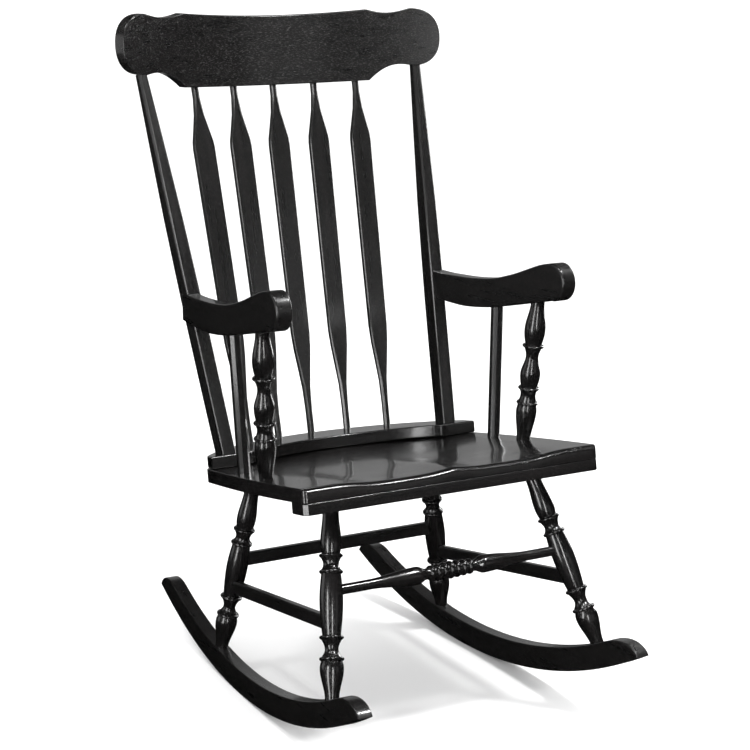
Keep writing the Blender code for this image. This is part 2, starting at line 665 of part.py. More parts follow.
for label, side in SIDES:
    name = "arm_" + label
    arm_frame = arm_place(side)
    half = ARM_THICKNESS / 2
    arm = piece(name, plate(name, arm_outline(), -half, half, arm_frame))
    boolean(arm, tool(name + "_post_notch", post_mesh(name + "_post_notch", side, CLEARANCE)))
    lowered = Matrix.Translation((0, 0, -2 * CLEARANCE)) @ arm_frame
    seating = tool(name + "_seating", plate(name + "_seating", arm_outline(), -2 * half, 2 * half, lowered))

    # The turned baluster under the front of the arm.
    stick_y = RAIL_END_FRONT - STICK_FROM_RAIL
    base = on_seat(side * (SEAT_HALF_WIDTH - BALUSTER_FROM_SIDE), stick_y - BALUSTER_AHEAD_OF_STICK)
    top = arm_foot(arm_frame, BALUSTER_ARM_REACH)
    axis = (top - base).normalized()
    start = base - axis * SEAT_SOCKET_DEPTH
    length = (top - base).length
    over = OVERRUN / 3
    profile = [(BALUSTER_RADIUS, length + SEAT_SOCKET_DEPTH + over)]
    profile += [(r, SEAT_SOCKET_DEPTH + length * (1 - share)) for share, r in BALUSTER_TURNING]
    profile += [(BALUSTER_RADIUS, 0)]
    baluster = turned("arm_baluster_" + label, profile, along(start, top))
    # The plain stick behind it.
    stick_name = "arm_stick_" + label
    stick_base = on_seat(side * (SEAT_HALF_WIDTH - STICK_FROM_SIDE), stick_y)
    stick_top = arm_foot(arm_frame, STICK_ARM_REACH)
    stick_axis = (stick_top - stick_base).normalized()
    stick_length = (stick_top - stick_base).length
    ends = (-over * 2, stick_length + over * 2)
    stations = [(height, STICK_SIZE, STICK_SIZE, STICK_CHAMFER) for height in ends]
    stick = piece(stick_name, tapered(stick_name, stations, along(stick_base, stick_top)))
    trim(stick, stick_name + "_base_cut", stick_base + seat_up * CLEARANCE, seat_up)
    foot_end = stick_base - stick_axis * SEAT_SOCKET_DEPTH
    shoulder = stick_base + stick_axis * OVERRUN
    tenon(stick, stick_name + "_base_tenon", foot_end, shoulder, ARM_TENON_RADIUS)
    bore(seat_plank, stick_name + "_socket", foot_end - stick_axis * CLEARANCE, shoulder, ARM_TENON_RADIUS)
    bore(seat_plank, "arm_baluster_" + label + "_socket", start - axis * CLEARANCE, base + axis * OVERRUN,
         BALUSTER_RADIUS * ROUND_OUT)
    for item, point, line in ((baluster, top, axis), (stick, stick_top, stick_axis)):
        boolean(item, seating)
        head_end = point + line * ARM_TENON_LENGTH
        tenon(item, item.name + "_top_tenon", point - line * OVERRUN, head_end, ARM_TENON_RADIUS)
        bore(arm, item.name + "_arm_socket", point - line * OVERRUN, head_end + line * CLEARANCE,
             ARM_TENON_RADIUS)


# ---- Runners ----------------------------------------------------------------------------------


def runner_frame(side):
    """The runner's frame: X forward to back along it, Y up, at its lowest point on the floor."""
    x = RUNNER_X - BALANCE_Y * math.tan(RUNNER_TOE_IN)
    back = Vector((-side * math.sin(RUNNER_TOE_IN), math.cos(RUNNER_TOE_IN), 0))
    matrix = Matrix((back, (0, 0, 1), back.cross(Vector((0, 0, 1))))).transposed().to_4x4()
    matrix.translation = Vector((side * x, BALANCE_Y, 0))
    return matrix


def runner_outline():
    """Flat facets on the floor side, the lowest one level, an arc on top, and shaped ends."""
    front = -(RUNNER_LENGTH / 2 + BALANCE_Y) / math.cos(RUNNER_TOE_IN)
    rear = (RUNNER_LENGTH / 2 - BALANCE_Y) / math.cos(RUNNER_TOE_IN)
    step = RUNNER_FACET / RUNNER_RADIUS
    ring = RUNNER_RADIUS / math.cos(step / 2)
    first = math.asin(front / RUNNER_RADIUS)
    last = math.asin(rear / RUNNER_RADIUS)

    def polar(angle, radius):
        return radius * math.sin(angle), RUNNER_RADIUS - radius * math.cos(angle)

    angles = [(i + 0.5) * step for i in range(-40, 40)]
    bottom = [polar(a, ring) for a in angles if first + step / 3 < a < last - step / 3]
    outline = [polar(first, RUNNER_RADIUS), *bottom, polar(last, RUNNER_RADIUS)]

    def rounded_end(tip, length):
        """A quarter of an ellipse from the tip on the floor side up to the top face."""
        turns = [math.radians(15 * i) for i in range(1, 7)]
        sweep = length / RUNNER_RADIUS
        return [
            polar(tip + sweep * (1 - math.cos(a)), RUNNER_RADIUS - RUNNER_HEIGHT * math.sin(a)) for a in turns
        ]

    heel = rounded_end(last, -RUNNER_HEEL)
    nose = rounded_end(first, RUNNER_NOSE)
    top_last = last - RUNNER_HEEL / RUNNER_RADIUS
    top_first = first + RUNNER_NOSE / RUNNER_RADIUS
    top_count = 18
    top = [
        polar(top_last + (top_first - top_last) * i / top_count, RUNNER_RADIUS - RUNNER_HEIGHT)
        for i in range(1, top_count)
    ]
    return outline + heel + top + nose[::-1]


def runner_top(side, y):
    """The point on the runner's upper face at y, and the direction out of it."""
    frame = runner_frame(side)
    distance = (y - BALANCE_Y) / math.cos(RUNNER_TOE_IN)
    angle = math.asin(distance / (RUNNER_RADIUS - RUNNER_HEIGHT))
    radius = RUNNER_RADIUS - RUNNER_HEIGHT
    point = Vector((radius * math.sin(angle), RUNNER_RADIUS - radius * math.cos(angle), 0))
    out = Vector((-math.sin(angle), math.cos(angle), 0))
    return frame @ point, frame.to_3x3() @ out


runners = {}
for label, side in SIDES:
    name = "rocker_" + label
    half = RUNNER_THICKNESS / 2
    runners[label] = piece(name, plate(name, runner_outline(), -half, half, runner_frame(side)))


# ---- Legs -------------------------------------------------------------------------------------


def screw_profile(length, radius, head_radius, head_height):
    """A round-headed fastener, its head at the bottom and its shank upwards."""
    return [(radius, length), (radius, head_height), (head_radius, head_height), (head_radius, 0)]


def wood_screw(length):
    return screw_profile(length, SCREW_RADIUS, SCREW_HEAD_RADIUS, SCREW_HEAD_HEIGHT)


STEEL = {"grey": 0.45, "roughness": 0.3, "metallic": 1.0}
legs = {}
leg_axes = {}
LEG_PLACES = (
    ("front", FRONT_LEG_FROM_SIDE, FRONT_LEG_FROM_FRONT, FRONT_FOOT_FROM_TIP - RUNNER_LENGTH / 2),
    ("back", BACK_LEG_FROM_SIDE, SEAT_DEPTH - BACK_LEG_FROM_BACK, RUNNER_LENGTH / 2 - BACK_FOOT_FROM_TIP),
)
for row, from_side, from_front, foot_y in LEG_PLACES:
    for label, side in SIDES:
        name = f"leg_{row}_{label}"
        top = on_seat(side * (SEAT_HALF_WIDTH - from_side), from_front, -PLANK_THICKNESS)
        foot, out = runner_top(side, foot_y)
        axis = (top - foot).normalized()
        length = (top - foot).length
        profile = [(LEG_TOP_RADIUS, length + SEAT_SOCKET_DEPTH)]
        profile += [(r, length * (1 - share)) for share, r in LEG_TURNING]
        profile += [(LEG_FOOT_RADIUS, -OVERRUN / 2)]
        leg = turned(name, profile, along(foot, top))
        trim(leg, name + "_foot_cut", foot + out * CLEARANCE, out)
        foot_end = foot - axis * FOOT_TENON_LENGTH
        tenon(leg, name + "_foot_tenon", foot_end, foot + axis * OVERRUN, FOOT_TENON_RADIUS)
        bore(runners[label], name + "_runner_socket", foot_end - axis * CLEARANCE, foot + axis * OVERRUN,
             FOOT_TENON_RADIUS)
        bore(seat_plank, name + "_seat_socket", top - axis * OVERRUN,
             top + axis * (SEAT_SOCKET_DEPTH + CLEARANCE), LEG_TOP_RADIUS * ROUND_OUT)
        legs[row, label] = leg
        leg_axes[row, label] = (foot, top)

        # One screw from under the runner, square to it, up into the leg.
        under = foot - out * (RUNNER_HEIGHT + OVERRUN)
        screw_start = foot - out * (RUNNER_HEIGHT - COUNTERBORE)
        screw_end = screw_start + out * RUNNER_SCREW_LENGTH
        screw_name = f"rocker_screw_{row}_{label}"
        turned(screw_name, wood_screw(RUNNER_SCREW_LENGTH), along(screw_start, screw_end), **STEEL)
        pilot = SCREW_RADIUS * ROUND_OUT
        head = SCREW_HEAD_RADIUS * ROUND_OUT
        bore(runners[label], screw_name + "_head_hole", under,
             screw_start + out * (SCREW_HEAD_HEIGHT + CLEARANCE), head)
        bore(runners[label], screw_name + "_hole", under, foot, pilot)
        bore(leg, screw_name + "_pilot", foot - out * 2 * OVERRUN, screw_end + out * CLEARANCE, pilot)


def leg_at(row, label, share):
    """A point on a leg's axis, as a share of its length down from the seat."""
    foot, top = leg_axes[row, label]
    return top + (foot - top) * share


# ---- Stretchers -------------------------------------------------------------------------------


def plain_stretcher(name, ends):
    """A chamfered bar between two legs, hollowed at its ends to sit against them, on round tenons."""
    (start, start_leg), (end, end_leg) = ends
    axis = (end - start).normalized()
    length = (end - start).length
    inset = LEG_BARREL_RADIUS - STRETCHER_SHOULDER
    stations = [(height, *STRETCHER_SIZE, STRETCHER_CHAMFER) for height in (inset, length - inset)]
    across = Vector((0, 1, 0)) if abs(axis.x) > 0.9 else Vector((1, 0, 0))
    bar = piece(name, tapered(name, stations, along(start, end, across)))
    for point, inward, leg_key in ((start, axis, start_leg), (end, -axis, end_leg)):
        foot, top = leg_axes[leg_key]
        reach = (top - foot).normalized() * 3 * OVERRUN
        tag = name + "_" + leg_key[0] + "_" + leg_key[1]
        near = [r for share, r in LEG_TURNING if (top.lerp(foot, share) - point).length < STRETCHER_SIZE[1]]
        widest = max(LEG_BARREL_RADIUS, *near)
        bore(bar, tag + "_hollow", point - reach, point + reach, widest * ROUND_OUT)
        tip = point + inward * (LEG_BARREL_RADIUS - STRETCHER_TENON_DEPTH)
        inside = point + inward * (LEG_BARREL_RADIUS + OVERRUN)
        tenon(bar, tag + "_tenon", tip, inside, STRETCHER_TENON_RADIUS)
        bore(legs[leg_key], tag + "_socket", tip - inward * CLEARANCE, inside, STRETCHER_TENON_RADIUS)


for label, side in SIDES:
    plain_stretcher(
        "side_stretcher_" + label,
        (
            (leg_at("front", label, SIDE_STRETCHER_FRONT_SHARE), ("front", label)),
            (leg_at("back", label, SIDE_STRETCHER_BACK_SHARE), ("back", label)),
        ),
    )
plain_stretcher(
    "back_stretcher",
    tuple((leg_at("back", label, BACK_STRETCHER_SHARE), ("back", label)) for label, _ in SIDES),
)

left_end = leg_at("front", "left", FRONT_STRETCHER_SHARE)
right_end = leg_at("front", "right", FRONT_STRETCHER_SHARE)
half_length = (right_end - left_end).length / 2 - LEG_BARREL_RADIUS + STRETCHER_TENON_DEPTH
half_profile = [(r, distance) for distance, r in STRETCHER_TURNING] + [(FRONT_STRETCHER_RADIUS, half_length)]
profile = half_profile[::-1] + [(r, -h) for r, h in half_profile[1:]]
turned(
    "front_stretcher", profile,
    along((left_end + right_end) / 2, right_end, Vector((0, 1, 0))),
)
for label, side in SIDES:
    end = leg_at("front", label, FRONT_STRETCHER_SHARE)
    inward = Vector((-side, 0, 0))
    tip = end + inward * (LEG_BARREL_RADIUS - STRETCHER_TENON_DEPTH - CLEARANCE)
    bore(legs["front", label], "front_stretcher_socket_" + label, tip,
         end + inward * (LEG_BARREL_RADIUS + OVERRUN), FRONT_STRETCHER_RADIUS * ROUND_OUT)


# ---- Arm bolts and rail screws ----------------------------------------------------------------

for label, side in SIDES:
    post = post_at(side, ARM_HEIGHT - ARM_BOLT_BELOW)
    base, top = post_ends(side)
    axis = (top - base).normalized()
    forward = Vector((0, -1, 0))
    forward = (forward - axis * forward.dot(axis)).normalized()
    name = "arm_bolt_" + label
    half_depth = post_half(side, ARM_HEIGHT - ARM_BOLT_BELOW)[1]
    head_back = post - forward * (half_depth - COUNTERBORE - ARM_BOLT_SUNK)
    tip = post + forward * ARM_BOLT_REACH
    reach = (tip - head_back).length
    turned(name, screw_profile(reach, ARM_BOLT_RADIUS, ARM_BOLT_HEAD_RADIUS, ARM_BOLT_HEAD_HEIGHT),
           along(head_back, tip), **STEEL)
    shank = ARM_BOLT_RADIUS * ROUND_OUT
    head = ARM_BOLT_HEAD_RADIUS * ROUND_OUT
    post_piece = bpy.data.objects["back_post_" + label]
    behind = post - forward * (half_depth + OVERRUN)
    head_front = head_back + forward * (ARM_BOLT_HEAD_HEIGHT + CLEARANCE)
    bore(post_piece, name + "_head_hole", behind, head_front, head)
    bore(post_piece, name + "_hole", behind, post + forward * (half_depth + OVERRUN), shank)
    bore(bpy.data.objects["arm_" + label], name + "_arm_hole", behind, tip + forward * CLEARANCE, shank)

    name = "rail_screw_" + label
    x = side * RAIL_SCREW_X
    y = seat_back_y(x, RAIL_SCREW_FROM_BACK)
    start = on_seat(x, y, COUNTERBORE - PLANK_THICKNESS)
    end = start + seat_up * RAIL_SCREW_LENGTH
    turned(name, wood_screw(RAIL_SCREW_LENGTH), along(start, end), **STEEL)
    pilot = SCREW_RADIUS * ROUND_OUT
    head = SCREW_HEAD_RADIUS * ROUND_OUT
    below = start - seat_up * OVERRUN
    bore(seat_plank, name + "_head_hole", below, start + seat_up * (SCREW_HEAD_HEIGHT + CLEARANCE), head)
    bore(seat_plank, name + "_hole", below, end, pilot)
    bore(seat_back_rail, name + "_pilot", start, end + seat_up * CLEARANCE, pilot)

for made in chair.objects:
    made.data.shade_smooth()
    made.data.set_sharp_from_angle(angle=math.radians(35))
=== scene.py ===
# %% [markdown]
# # An arrow-back rocking chair in black lacquer
#
# The chair is solid hardwood: turned legs and balusters, planed boards, five arrow-shaped spindles
# and a steam-bent crest, all sprayed black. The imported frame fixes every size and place, so this
# lesson only remodels each piece finely where the frame's own piece lies. The frame comes first.

import json
import math

import bmesh
import bpy
import numpy as np
from mathutils import Matrix, Vector


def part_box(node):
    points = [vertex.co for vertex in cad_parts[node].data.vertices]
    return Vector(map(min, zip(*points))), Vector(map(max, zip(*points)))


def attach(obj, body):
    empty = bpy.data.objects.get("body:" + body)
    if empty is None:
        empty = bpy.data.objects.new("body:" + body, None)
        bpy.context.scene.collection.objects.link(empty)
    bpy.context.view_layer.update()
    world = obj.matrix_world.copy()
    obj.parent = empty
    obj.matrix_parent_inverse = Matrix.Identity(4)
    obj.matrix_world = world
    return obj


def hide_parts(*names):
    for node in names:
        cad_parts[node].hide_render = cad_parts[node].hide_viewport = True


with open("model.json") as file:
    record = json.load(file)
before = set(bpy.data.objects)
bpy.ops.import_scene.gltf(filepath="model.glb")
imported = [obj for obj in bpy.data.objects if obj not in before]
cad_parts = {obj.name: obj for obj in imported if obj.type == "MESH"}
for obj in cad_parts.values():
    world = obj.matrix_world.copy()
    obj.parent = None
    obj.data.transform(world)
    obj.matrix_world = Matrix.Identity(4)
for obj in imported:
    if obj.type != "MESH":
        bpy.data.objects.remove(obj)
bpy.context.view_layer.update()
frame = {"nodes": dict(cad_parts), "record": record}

# %% [markdown]
# ## Camera
#
# The chair is seen from its right-hand front corner, a little above seat height, through a long
# lens, so that its upright lines stay nearly parallel. The two angles and the distance are named
# values, and the camera's turn follows from them. A tracking constraint would also do it, but a
# plain rotation leaves nothing for other views to undo.

# %% Camera
VIEW_AZIMUTH = math.radians(-28.958)
VIEW_ELEVATION = math.radians(12.945)
CAMERA_PLACE = (-1.5204, -2.7457, 1.2648)
LENS = 91.2

back = Vector((
    math.sin(VIEW_AZIMUTH) * math.cos(VIEW_ELEVATION),
    -math.cos(VIEW_AZIMUTH) * math.cos(VIEW_ELEVATION),
    math.sin(VIEW_ELEVATION),
))
bpy.ops.object.camera_add(location=CAMERA_PLACE)
camera = bpy.context.object
camera.name = "camera"
camera.rotation_mode = "QUATERNION"
camera.rotation_quaternion = back.to_track_quat("Z", "Y")
camera.data.lens = LENS
camera.data.sensor_width = 36
camera.data.clip_end = 100
bpy.context.scene.camera = camera
print("camera", CAMERA_PLACE, "lens", LENS)

# %% [markdown]
# ## Measuring the frame's pieces
#
# A straight piece, such as a leg, leans two ways at once, and its box alone doesn't say how. Its
# solid does: the direction in which its mass spreads furthest is its axis. The sums below run over
# the tetrahedra between the origin and each triangle, which is exact for any closed mesh. A piece
# could be placed by typed angles instead, but then it would drift whenever the frame changes.

# %% Principal directions of a solid
def spread_of(node):
    """The middle of a solid, and its principal directions from the shortest to the longest."""
    mesh = frame["nodes"][node].data
    mesh.calc_loop_triangles()
    points = np.array([v.co for v in mesh.vertices], float)
    corners = points[np.array([t.vertices[:] for t in mesh.loop_triangles])]
    middle = points.mean(0)
    a, b, c = (corners[:, i] - middle for i in range(3))
    volumes = np.einsum("ij,ij->i", a, np.cross(b, c)) / 6
    total = a + b + c
    shift = (volumes[:, None] * total).sum(0) / 4 / volumes.sum()
    second = sum(np.einsum("i,ij,ik->jk", volumes, p, p) for p in (total, a, b, c)) / 20
    directions = np.linalg.eigh(second / volumes.sum() - np.outer(shift, shift))[1]
    return Vector(middle + shift), [Vector(directions[:, i]) for i in range(3)]


def reach(node, place):
    """The lowest and highest corner of a CAD node, measured in a frame of its own."""
    inverse = place.inverted()
    points = np.array([inverse @ v.co for v in frame["nodes"][node].data.vertices])
    return Vector(points.min(0)), Vector(points.max(0))


def frame_of(z, x, origin):
    """A frame with Z along z and X as near to x as it goes."""
    z = z.normalized()
    y = z.cross(x).normalized()
    made = Matrix((y.cross(z), y, z)).transposed().to_4x4()
    made.translation = origin
    return made


def rod_frame(node, up=Vector((0, 0, 1)), across=Vector((1, 0, 0))):
    """The frame of a straight piece, from its first end along it, and its length."""
    middle, directions = spread_of(node)
    axis = directions[2] if directions[2].dot(up) > 0 else -directions[2]
    place = frame_of(axis, across, middle)
    low, high = reach(node, place)
    place.translation = middle + axis * low.z
    return place, high.z - low.z


leg_place, leg_length = rod_frame("leg_front_left")
leaning = [round(v, 3) for v in leg_place.col[2][:3]]
print("front left leg", round(leg_length, 4), "m long, leaning", leaning)

# %% [markdown]
# ## Working in edit mode
#
# Every piece starts as a primitive and is then shaped with edit-mode operators. An operator acts
# on all that is selected, so these helpers deselect first, pick edges by where they lie, and say
# what came out. A finished piece keeps its place in its mesh, rides on the chair's one body, and
# stands for the frame's plain piece.

# %% Helpers for modelling
BODY = "root"
ROUNDING_ANGLE = math.radians(35)


def deselect():
    for item in bpy.context.selected_objects:
        item.select_set(False)


def pick(piece, rule, kind="EDGE"):
    """Selects what the rule takes in the mesh that is open in edit mode."""
    bpy.ops.mesh.select_mode(type=kind)
    bpy.ops.mesh.select_all(action="DESELECT")
    shape = bmesh.from_edit_mesh(piece.data)
    for item in {"VERT": shape.verts, "EDGE": shape.edges, "FACE": shape.faces}[kind]:
        if rule(item):
            item.select_set(True)
    bmesh.update_edit_mesh(piece.data)


def tidy_faces():
    """Merges doubles and turns every face outwards, in edit mode."""
    bpy.ops.mesh.select_mode(type="VERT")
    bpy.ops.mesh.select_all(action="SELECT")
    bpy.ops.mesh.remove_doubles(threshold=0.00002)
    bpy.ops.mesh.normals_make_consistent(inside=False)


def only(piece):
    """Makes piece the one selected and active object."""
    deselect()
    piece.select_set(True)
    bpy.context.view_layer.objects.active = piece


def settle(piece, place):
    """Puts a piece where its frame says, with the place in its mesh."""
    only(piece)
    piece.matrix_world = place
    bpy.ops.object.transform_apply(location=True, rotation=True, scale=True)


def cut_away(piece, cutter):
    """Cuts cutter out of piece, and removes the cutter."""
    modifier = piece.modifiers.new("cut", "BOOLEAN")
    modifier.operation = "DIFFERENCE"
    modifier.solver = "EXACT"
    modifier.object = cutter
    only(piece)
    bpy.ops.object.modifier_apply(modifier="cut")
    bpy.data.objects.remove(cutter)


def even_shading(piece, angle=ROUNDING_ANGLE):
    """Smooth over the rounded edges, and flat over the broad faces."""
    only(piece)
    bpy.ops.object.shade_smooth_by_angle(angle=angle)
    weighted = piece.modifiers.new("weighted", "WEIGHTED_NORMAL")
    weighted.keep_sharp = True
    weighted.weight = 80
    bpy.ops.object.modifier_apply(modifier="weighted")


# %% [markdown]
# ## Lacquer
#
# The finish is black nitrocellulose lacquer over a dark stain on an open-grained hardwood such as
# rubberwood. It is sprayed and rubbed out to a satin gloss, so highlights are bright but
# soft-edged, and the pores still show as short dents that catch the light. The pattern is laid
# along each piece's own grain, through an attribute that holds the point's place in the piece, so
# one material serves legs, boards and spindles alike. A real pore is about 0.15 mm wide and 2 mm
# long. That is too fine to show, so the pores are drawn four to seven
# times as coarse.

# %% A node helper and colours
def linear(code):
    """An sRGB hex colour as linear red, green, blue and alpha."""
    levels = [int(code[i:i + 2], 16) / 255 for i in (1, 3, 5)]
    return tuple(v / 12.92 if v <= 0.04045 else ((v + 0.055) / 1.055) ** 2.4 for v in levels) + (1,)


def add_node(tree, kind, settings=None, inputs=None):
    """A new node with its settings and its inputs, each a value or another node's output."""
    node = tree.nodes.new(kind)
    for key, value in (settings or {}).items():
        setattr(node, key, value)
    for key, value in (inputs or {}).items():
        if isinstance(value, bpy.types.NodeSocket):
            tree.links.new(value, node.inputs[key])
        else:
            node.inputs[key].default_value = value
    return node


MM = 0.001


def lacquer(name, painted_pore_glint, roughness, dent, pore=(0.8 * MM, 4.0 * MM)):
    """Black lacquer on open-grained wood: painted_pore_glint is how pale the pores are painted, a
    painted highlight for the light their rims catch, and dent is how deep they are.
    """
    made = bpy.data.materials.new(name)
    made.use_nodes = True
    tree = made.node_tree
    shader = tree.nodes["Principled BSDF"]
    grain = add_node(tree, "ShaderNodeAttribute", {"attribute_name": "grain"}).outputs["Vector"]

    def pattern(width, length, detail, low, high):
        """A streaked noise whose grains are this wide and long, spread from 0 to 1."""
        laid = add_node(
            tree, "ShaderNodeMapping", None,
            {"Vector": grain, "Scale": (1 / width, 1 / width, 1 / length)},
        )
        noise = add_node(
            tree, "ShaderNodeTexNoise", None,
            {"Vector": laid.outputs["Vector"], "Scale": 1.0, "Detail": detail, "Roughness": 0.6},
        )
        spread = add_node(
            tree, "ShaderNodeMapRange", None,
            {"Value": noise.outputs["Fac"], "From Min": low, "From Max": high},
        )
        return spread.outputs["Result"]

    pores = pattern(*pore, 1.0, 0.58, 0.70)
    rings = pattern(9 * MM, 160 * MM, 3.0, 0.35, 0.65)
    peel = pattern(3.5 * MM, 3.5 * MM, 1.0, 0.3, 0.7)
    # The pores' paler colour is a painted highlight: it stands for the light that catches on their rims.
    painted_glint_mask = add_node(
        tree, "ShaderNodeMath", {"operation": "MULTIPLY"}, {0: pores, 1: painted_pore_glint}
    ).outputs["Value"]
    stain = add_node(
        tree, "ShaderNodeMix", {"data_type": "RGBA"},
        {"Factor": rings, "A": linear("#0a0a0a"), "B": linear("#110f0f")},
    ).outputs["Result"]
    colour = add_node(
        tree, "ShaderNodeMix", {"data_type": "RGBA"},
        {"Factor": painted_glint_mask, "A": stain, "B": linear("#8c8a88")},
    ).outputs["Result"]
    tree.links.new(colour, shader.inputs["Base Color"])
    rough = add_node(
        tree, "ShaderNodeMapRange", None,
        {"Value": rings, "To Min": roughness - 0.03, "To Max": roughness + 0.04},
    ).outputs["Result"]
    tree.links.new(rough, shader.inputs["Roughness"])
    peeled = add_node(
        tree, "ShaderNodeBump", None, {"Strength": 0.05, "Distance": 0.4 * MM, "Height": peel}
    ).outputs["Normal"]
    pored = add_node(
        tree, "ShaderNodeBump", {"invert": True},
        {"Strength": dent, "Distance": 0.6 * MM, "Height": pores, "Normal": peeled},
    ).outputs["Normal"]
    tree.links.new(pored, shader.inputs["Normal"])
    tree.links.new(peeled, shader.inputs["Coat Normal"])
    shader.inputs["IOR"].default_value = 1.5
    shader.inputs["Coat Weight"].default_value = 0.5
    shader.inputs["Coat Roughness"].default_value = 0.09
    return made


# The crest's broad face shows its open grain most: the deepest dents, and the palest pores, a painted
# highlight for the light their rims catch.
# Turned pieces were sanded while they spun, and the seat was rubbed out to a higher gloss, so both show
# less.
crest_lacquer = lacquer("black_lacquer_on_open_grain", 0.16, 0.30, 1.0, (1.1 * MM, 6.0 * MM))
board_lacquer = lacquer("black_lacquer_on_planed_hardwood", 0.06, 0.30, 0.4)
turned_lacquer = lacquer("black_lacquer_on_turned_hardwood", 0.05, 0.20, 0.2, (0.6 * MM, 3.0 * MM))
seat_lacquer = lacquer("black_lacquer_rubbed_to_gloss", 0.05, 0.22, 0.25)
print("materials", [m.name for m in (crest_lacquer, board_lacquer, turned_lacquer, seat_lacquer)])

# %% Zinc-plated steel for the screws and bolts
# Pressed steel with a bright zinc plating: a cool grey metal with a fine, even haze.
steel = bpy.data.materials.new("zinc_plated_steel")
steel.use_nodes = True
steel_shader = steel.node_tree.nodes["Principled BSDF"]
steel_shader.inputs["Metallic"].default_value = 1.0
steel_shader.inputs["Base Color"].default_value = linear("#b9bcc0")
haze = add_node(
    steel.node_tree, "ShaderNodeTexNoise", None,
    {
        "Vector": add_node(steel.node_tree, "ShaderNodeTexCoord").outputs["Object"],
        "Scale": 1 / (0.8 * MM), "Detail": 2.0,
    },
).outputs["Fac"]
clouded = add_node(
    steel.node_tree, "ShaderNodeMapRange", None, {"Value": haze, "To Min": 0.24, "To Max": 0.40}
).outputs["Result"]
steel.node_tree.links.new(clouded, steel_shader.inputs["Roughness"])


# %% Handing a piece over
def hand_over(piece, node, material, place, along="Z"):
    """Lays the grain, gives the finish, and lets the piece stand for its CAD node."""
    inverse = place.inverted()
    order = {"X": (1, 2, 0), "Y": (2, 0, 1), "Z": (0, 1, 2)}[along]
    local = np.array([inverse @ v.co for v in piece.data.vertices], np.float32)[:, order]
    # A shift of its own for each piece, so that no two show the same grain.
    local += np.array([sum(map(ord, node)) % 97 * 0.013, 0, len(node) * 0.037], np.float32)
    laid = piece.data.attributes.new("grain", "FLOAT_VECTOR", "POINT")
    laid.data.foreach_set("vector", local.ravel())
    piece.data.materials.clear()
    piece.data.materials.append(material)
    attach(piece, BODY)
    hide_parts(node)
    points = np.array([v.co for v in piece.data.vertices])
    low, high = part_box(node)
    away = 1000 * max(abs(points.min(0) - low).max(), abs(points.max(0) - high).max())
    print(f"{piece.name}: {len(points)} points, its box within {away:.1f} mm of the frame's")


# %% [markdown]
# ## Turned pieces
#
# A leg spins in a lathe while a gouge cuts beads, coves and long swells into it. The same shape
# could come from a spun profile. Here a disc is drawn out ring by ring, as a lathe shape reads:
# each extrusion moves down the leg and each resize sets its width. Between two stations the radius
# eases in and out, which gives the long ogee curves. A bead is a half round between shoulders.

# %% The line of a turning
BEAD_HALF = 3.0 * MM
EASE_STEP = 3.0 * MM


def lathe_line(stations, length, bead_half=BEAD_HALF):
    """(height, radius) points from top to bottom. A station is (share from the top, radius), and
    a bead adds the radii of its shoulders above and below."""
    line = []
    off_bead = False

    def ease_to(height, radius, to_bead):
        if not line:
            line.append((height, radius))
            return
        start, narrow = line[-1]
        count = max(2, round(abs(start - height) / EASE_STEP))
        for i in range(1, count + 1):
            share = i / count
            if off_bead:
                eased = math.sin(math.pi / 2 * share)
            elif to_bead:
                eased = 1 - math.cos(math.pi / 2 * share)
            else:
                eased = (1 - math.cos(math.pi * share)) / 2
            line.append((start + (height - start) * share, narrow + (radius - narrow) * eased))

    for share, radius, *shoulders in stations:
        height = length * (1 - share)
        if not shoulders:
            ease_to(height, radius, False)
            off_bead = False
            continue
        above, below = shoulders
        ease_to(height + bead_half, above, True)
        off_bead = True
        for i in range(1, 8):
            turn = math.pi * i / 8
            base = above + (below - above) * i / 8
            line.append((height + bead_half * math.cos(turn), base + (radius - base) * math.sin(turn)))
        line.append((height - bead_half, below))
    return line


def turn_on_lathe(name, line, segments=48):
    """A disc drawn out down the line, ring by ring."""
    deselect()
    height, radius = line[0]
    bpy.ops.mesh.primitive_circle_add(
        vertices=segments, radius=radius, fill_type="NGON", location=(0, 0, height)
    )
    piece = bpy.context.object
    piece.name = name
    bpy.ops.object.transform_apply(location=True, rotation=True, scale=True)
    bpy.ops.object.mode_set(mode="EDIT")
    bpy.ops.mesh.select_all(action="SELECT")
    for (high, before), (low, after) in zip(line, line[1:]):
        bpy.ops.mesh.extrude_region_move(TRANSFORM_OT_translate={"value": (0, 0, low - high)})
        scale = after / before
        bpy.ops.transform.resize(value=(scale, scale, 1), center_override=(0, 0, low))
    tidy_faces()
    bpy.ops.object.mode_set(mode="OBJECT")
    only(piece)
    bpy.ops.object.shade_smooth_by_angle(angle=ROUNDING_ANGLE)
    return piece


# %% Legs
FOOT_TENON = 0.014
SEAT_SOCKET = 0.016
HIDDEN = 0.005  # how far a visible end runs into its neighbour

LEG_STATIONS = (
    (0.000, 0.0120), (0.102, 0.0131), (0.248, 0.0168), (0.311, 0.0190, 0.0146, 0.0163),
    (0.355, 0.0124), (0.390, 0.0190, 0.0160, 0.0157), (0.525, 0.0187),
    (0.706, 0.0193, 0.0146, 0.0163), (0.763, 0.0106), (0.809, 0.0197, 0.0162, 0.0165),
    (0.852, 0.0189), (1.000, 0.0112),
)

for row in ("front", "back"):
    for label in ("left", "right"):
        node = f"leg_{row}_{label}"
        place, length = rod_frame(node)
        seen = length - FOOT_TENON - SEAT_SOCKET
        line = [(h + FOOT_TENON, r) for h, r in lathe_line(LEG_STATIONS, seen)]
        line = [(line[0][0] + HIDDEN, line[0][1]), *line, (line[-1][0] - HIDDEN, line[-1][1])]
        leg = turn_on_lathe(node + "_turned", line)
        settle(leg, place)
        hand_over(leg, node, turned_lacquer, place)

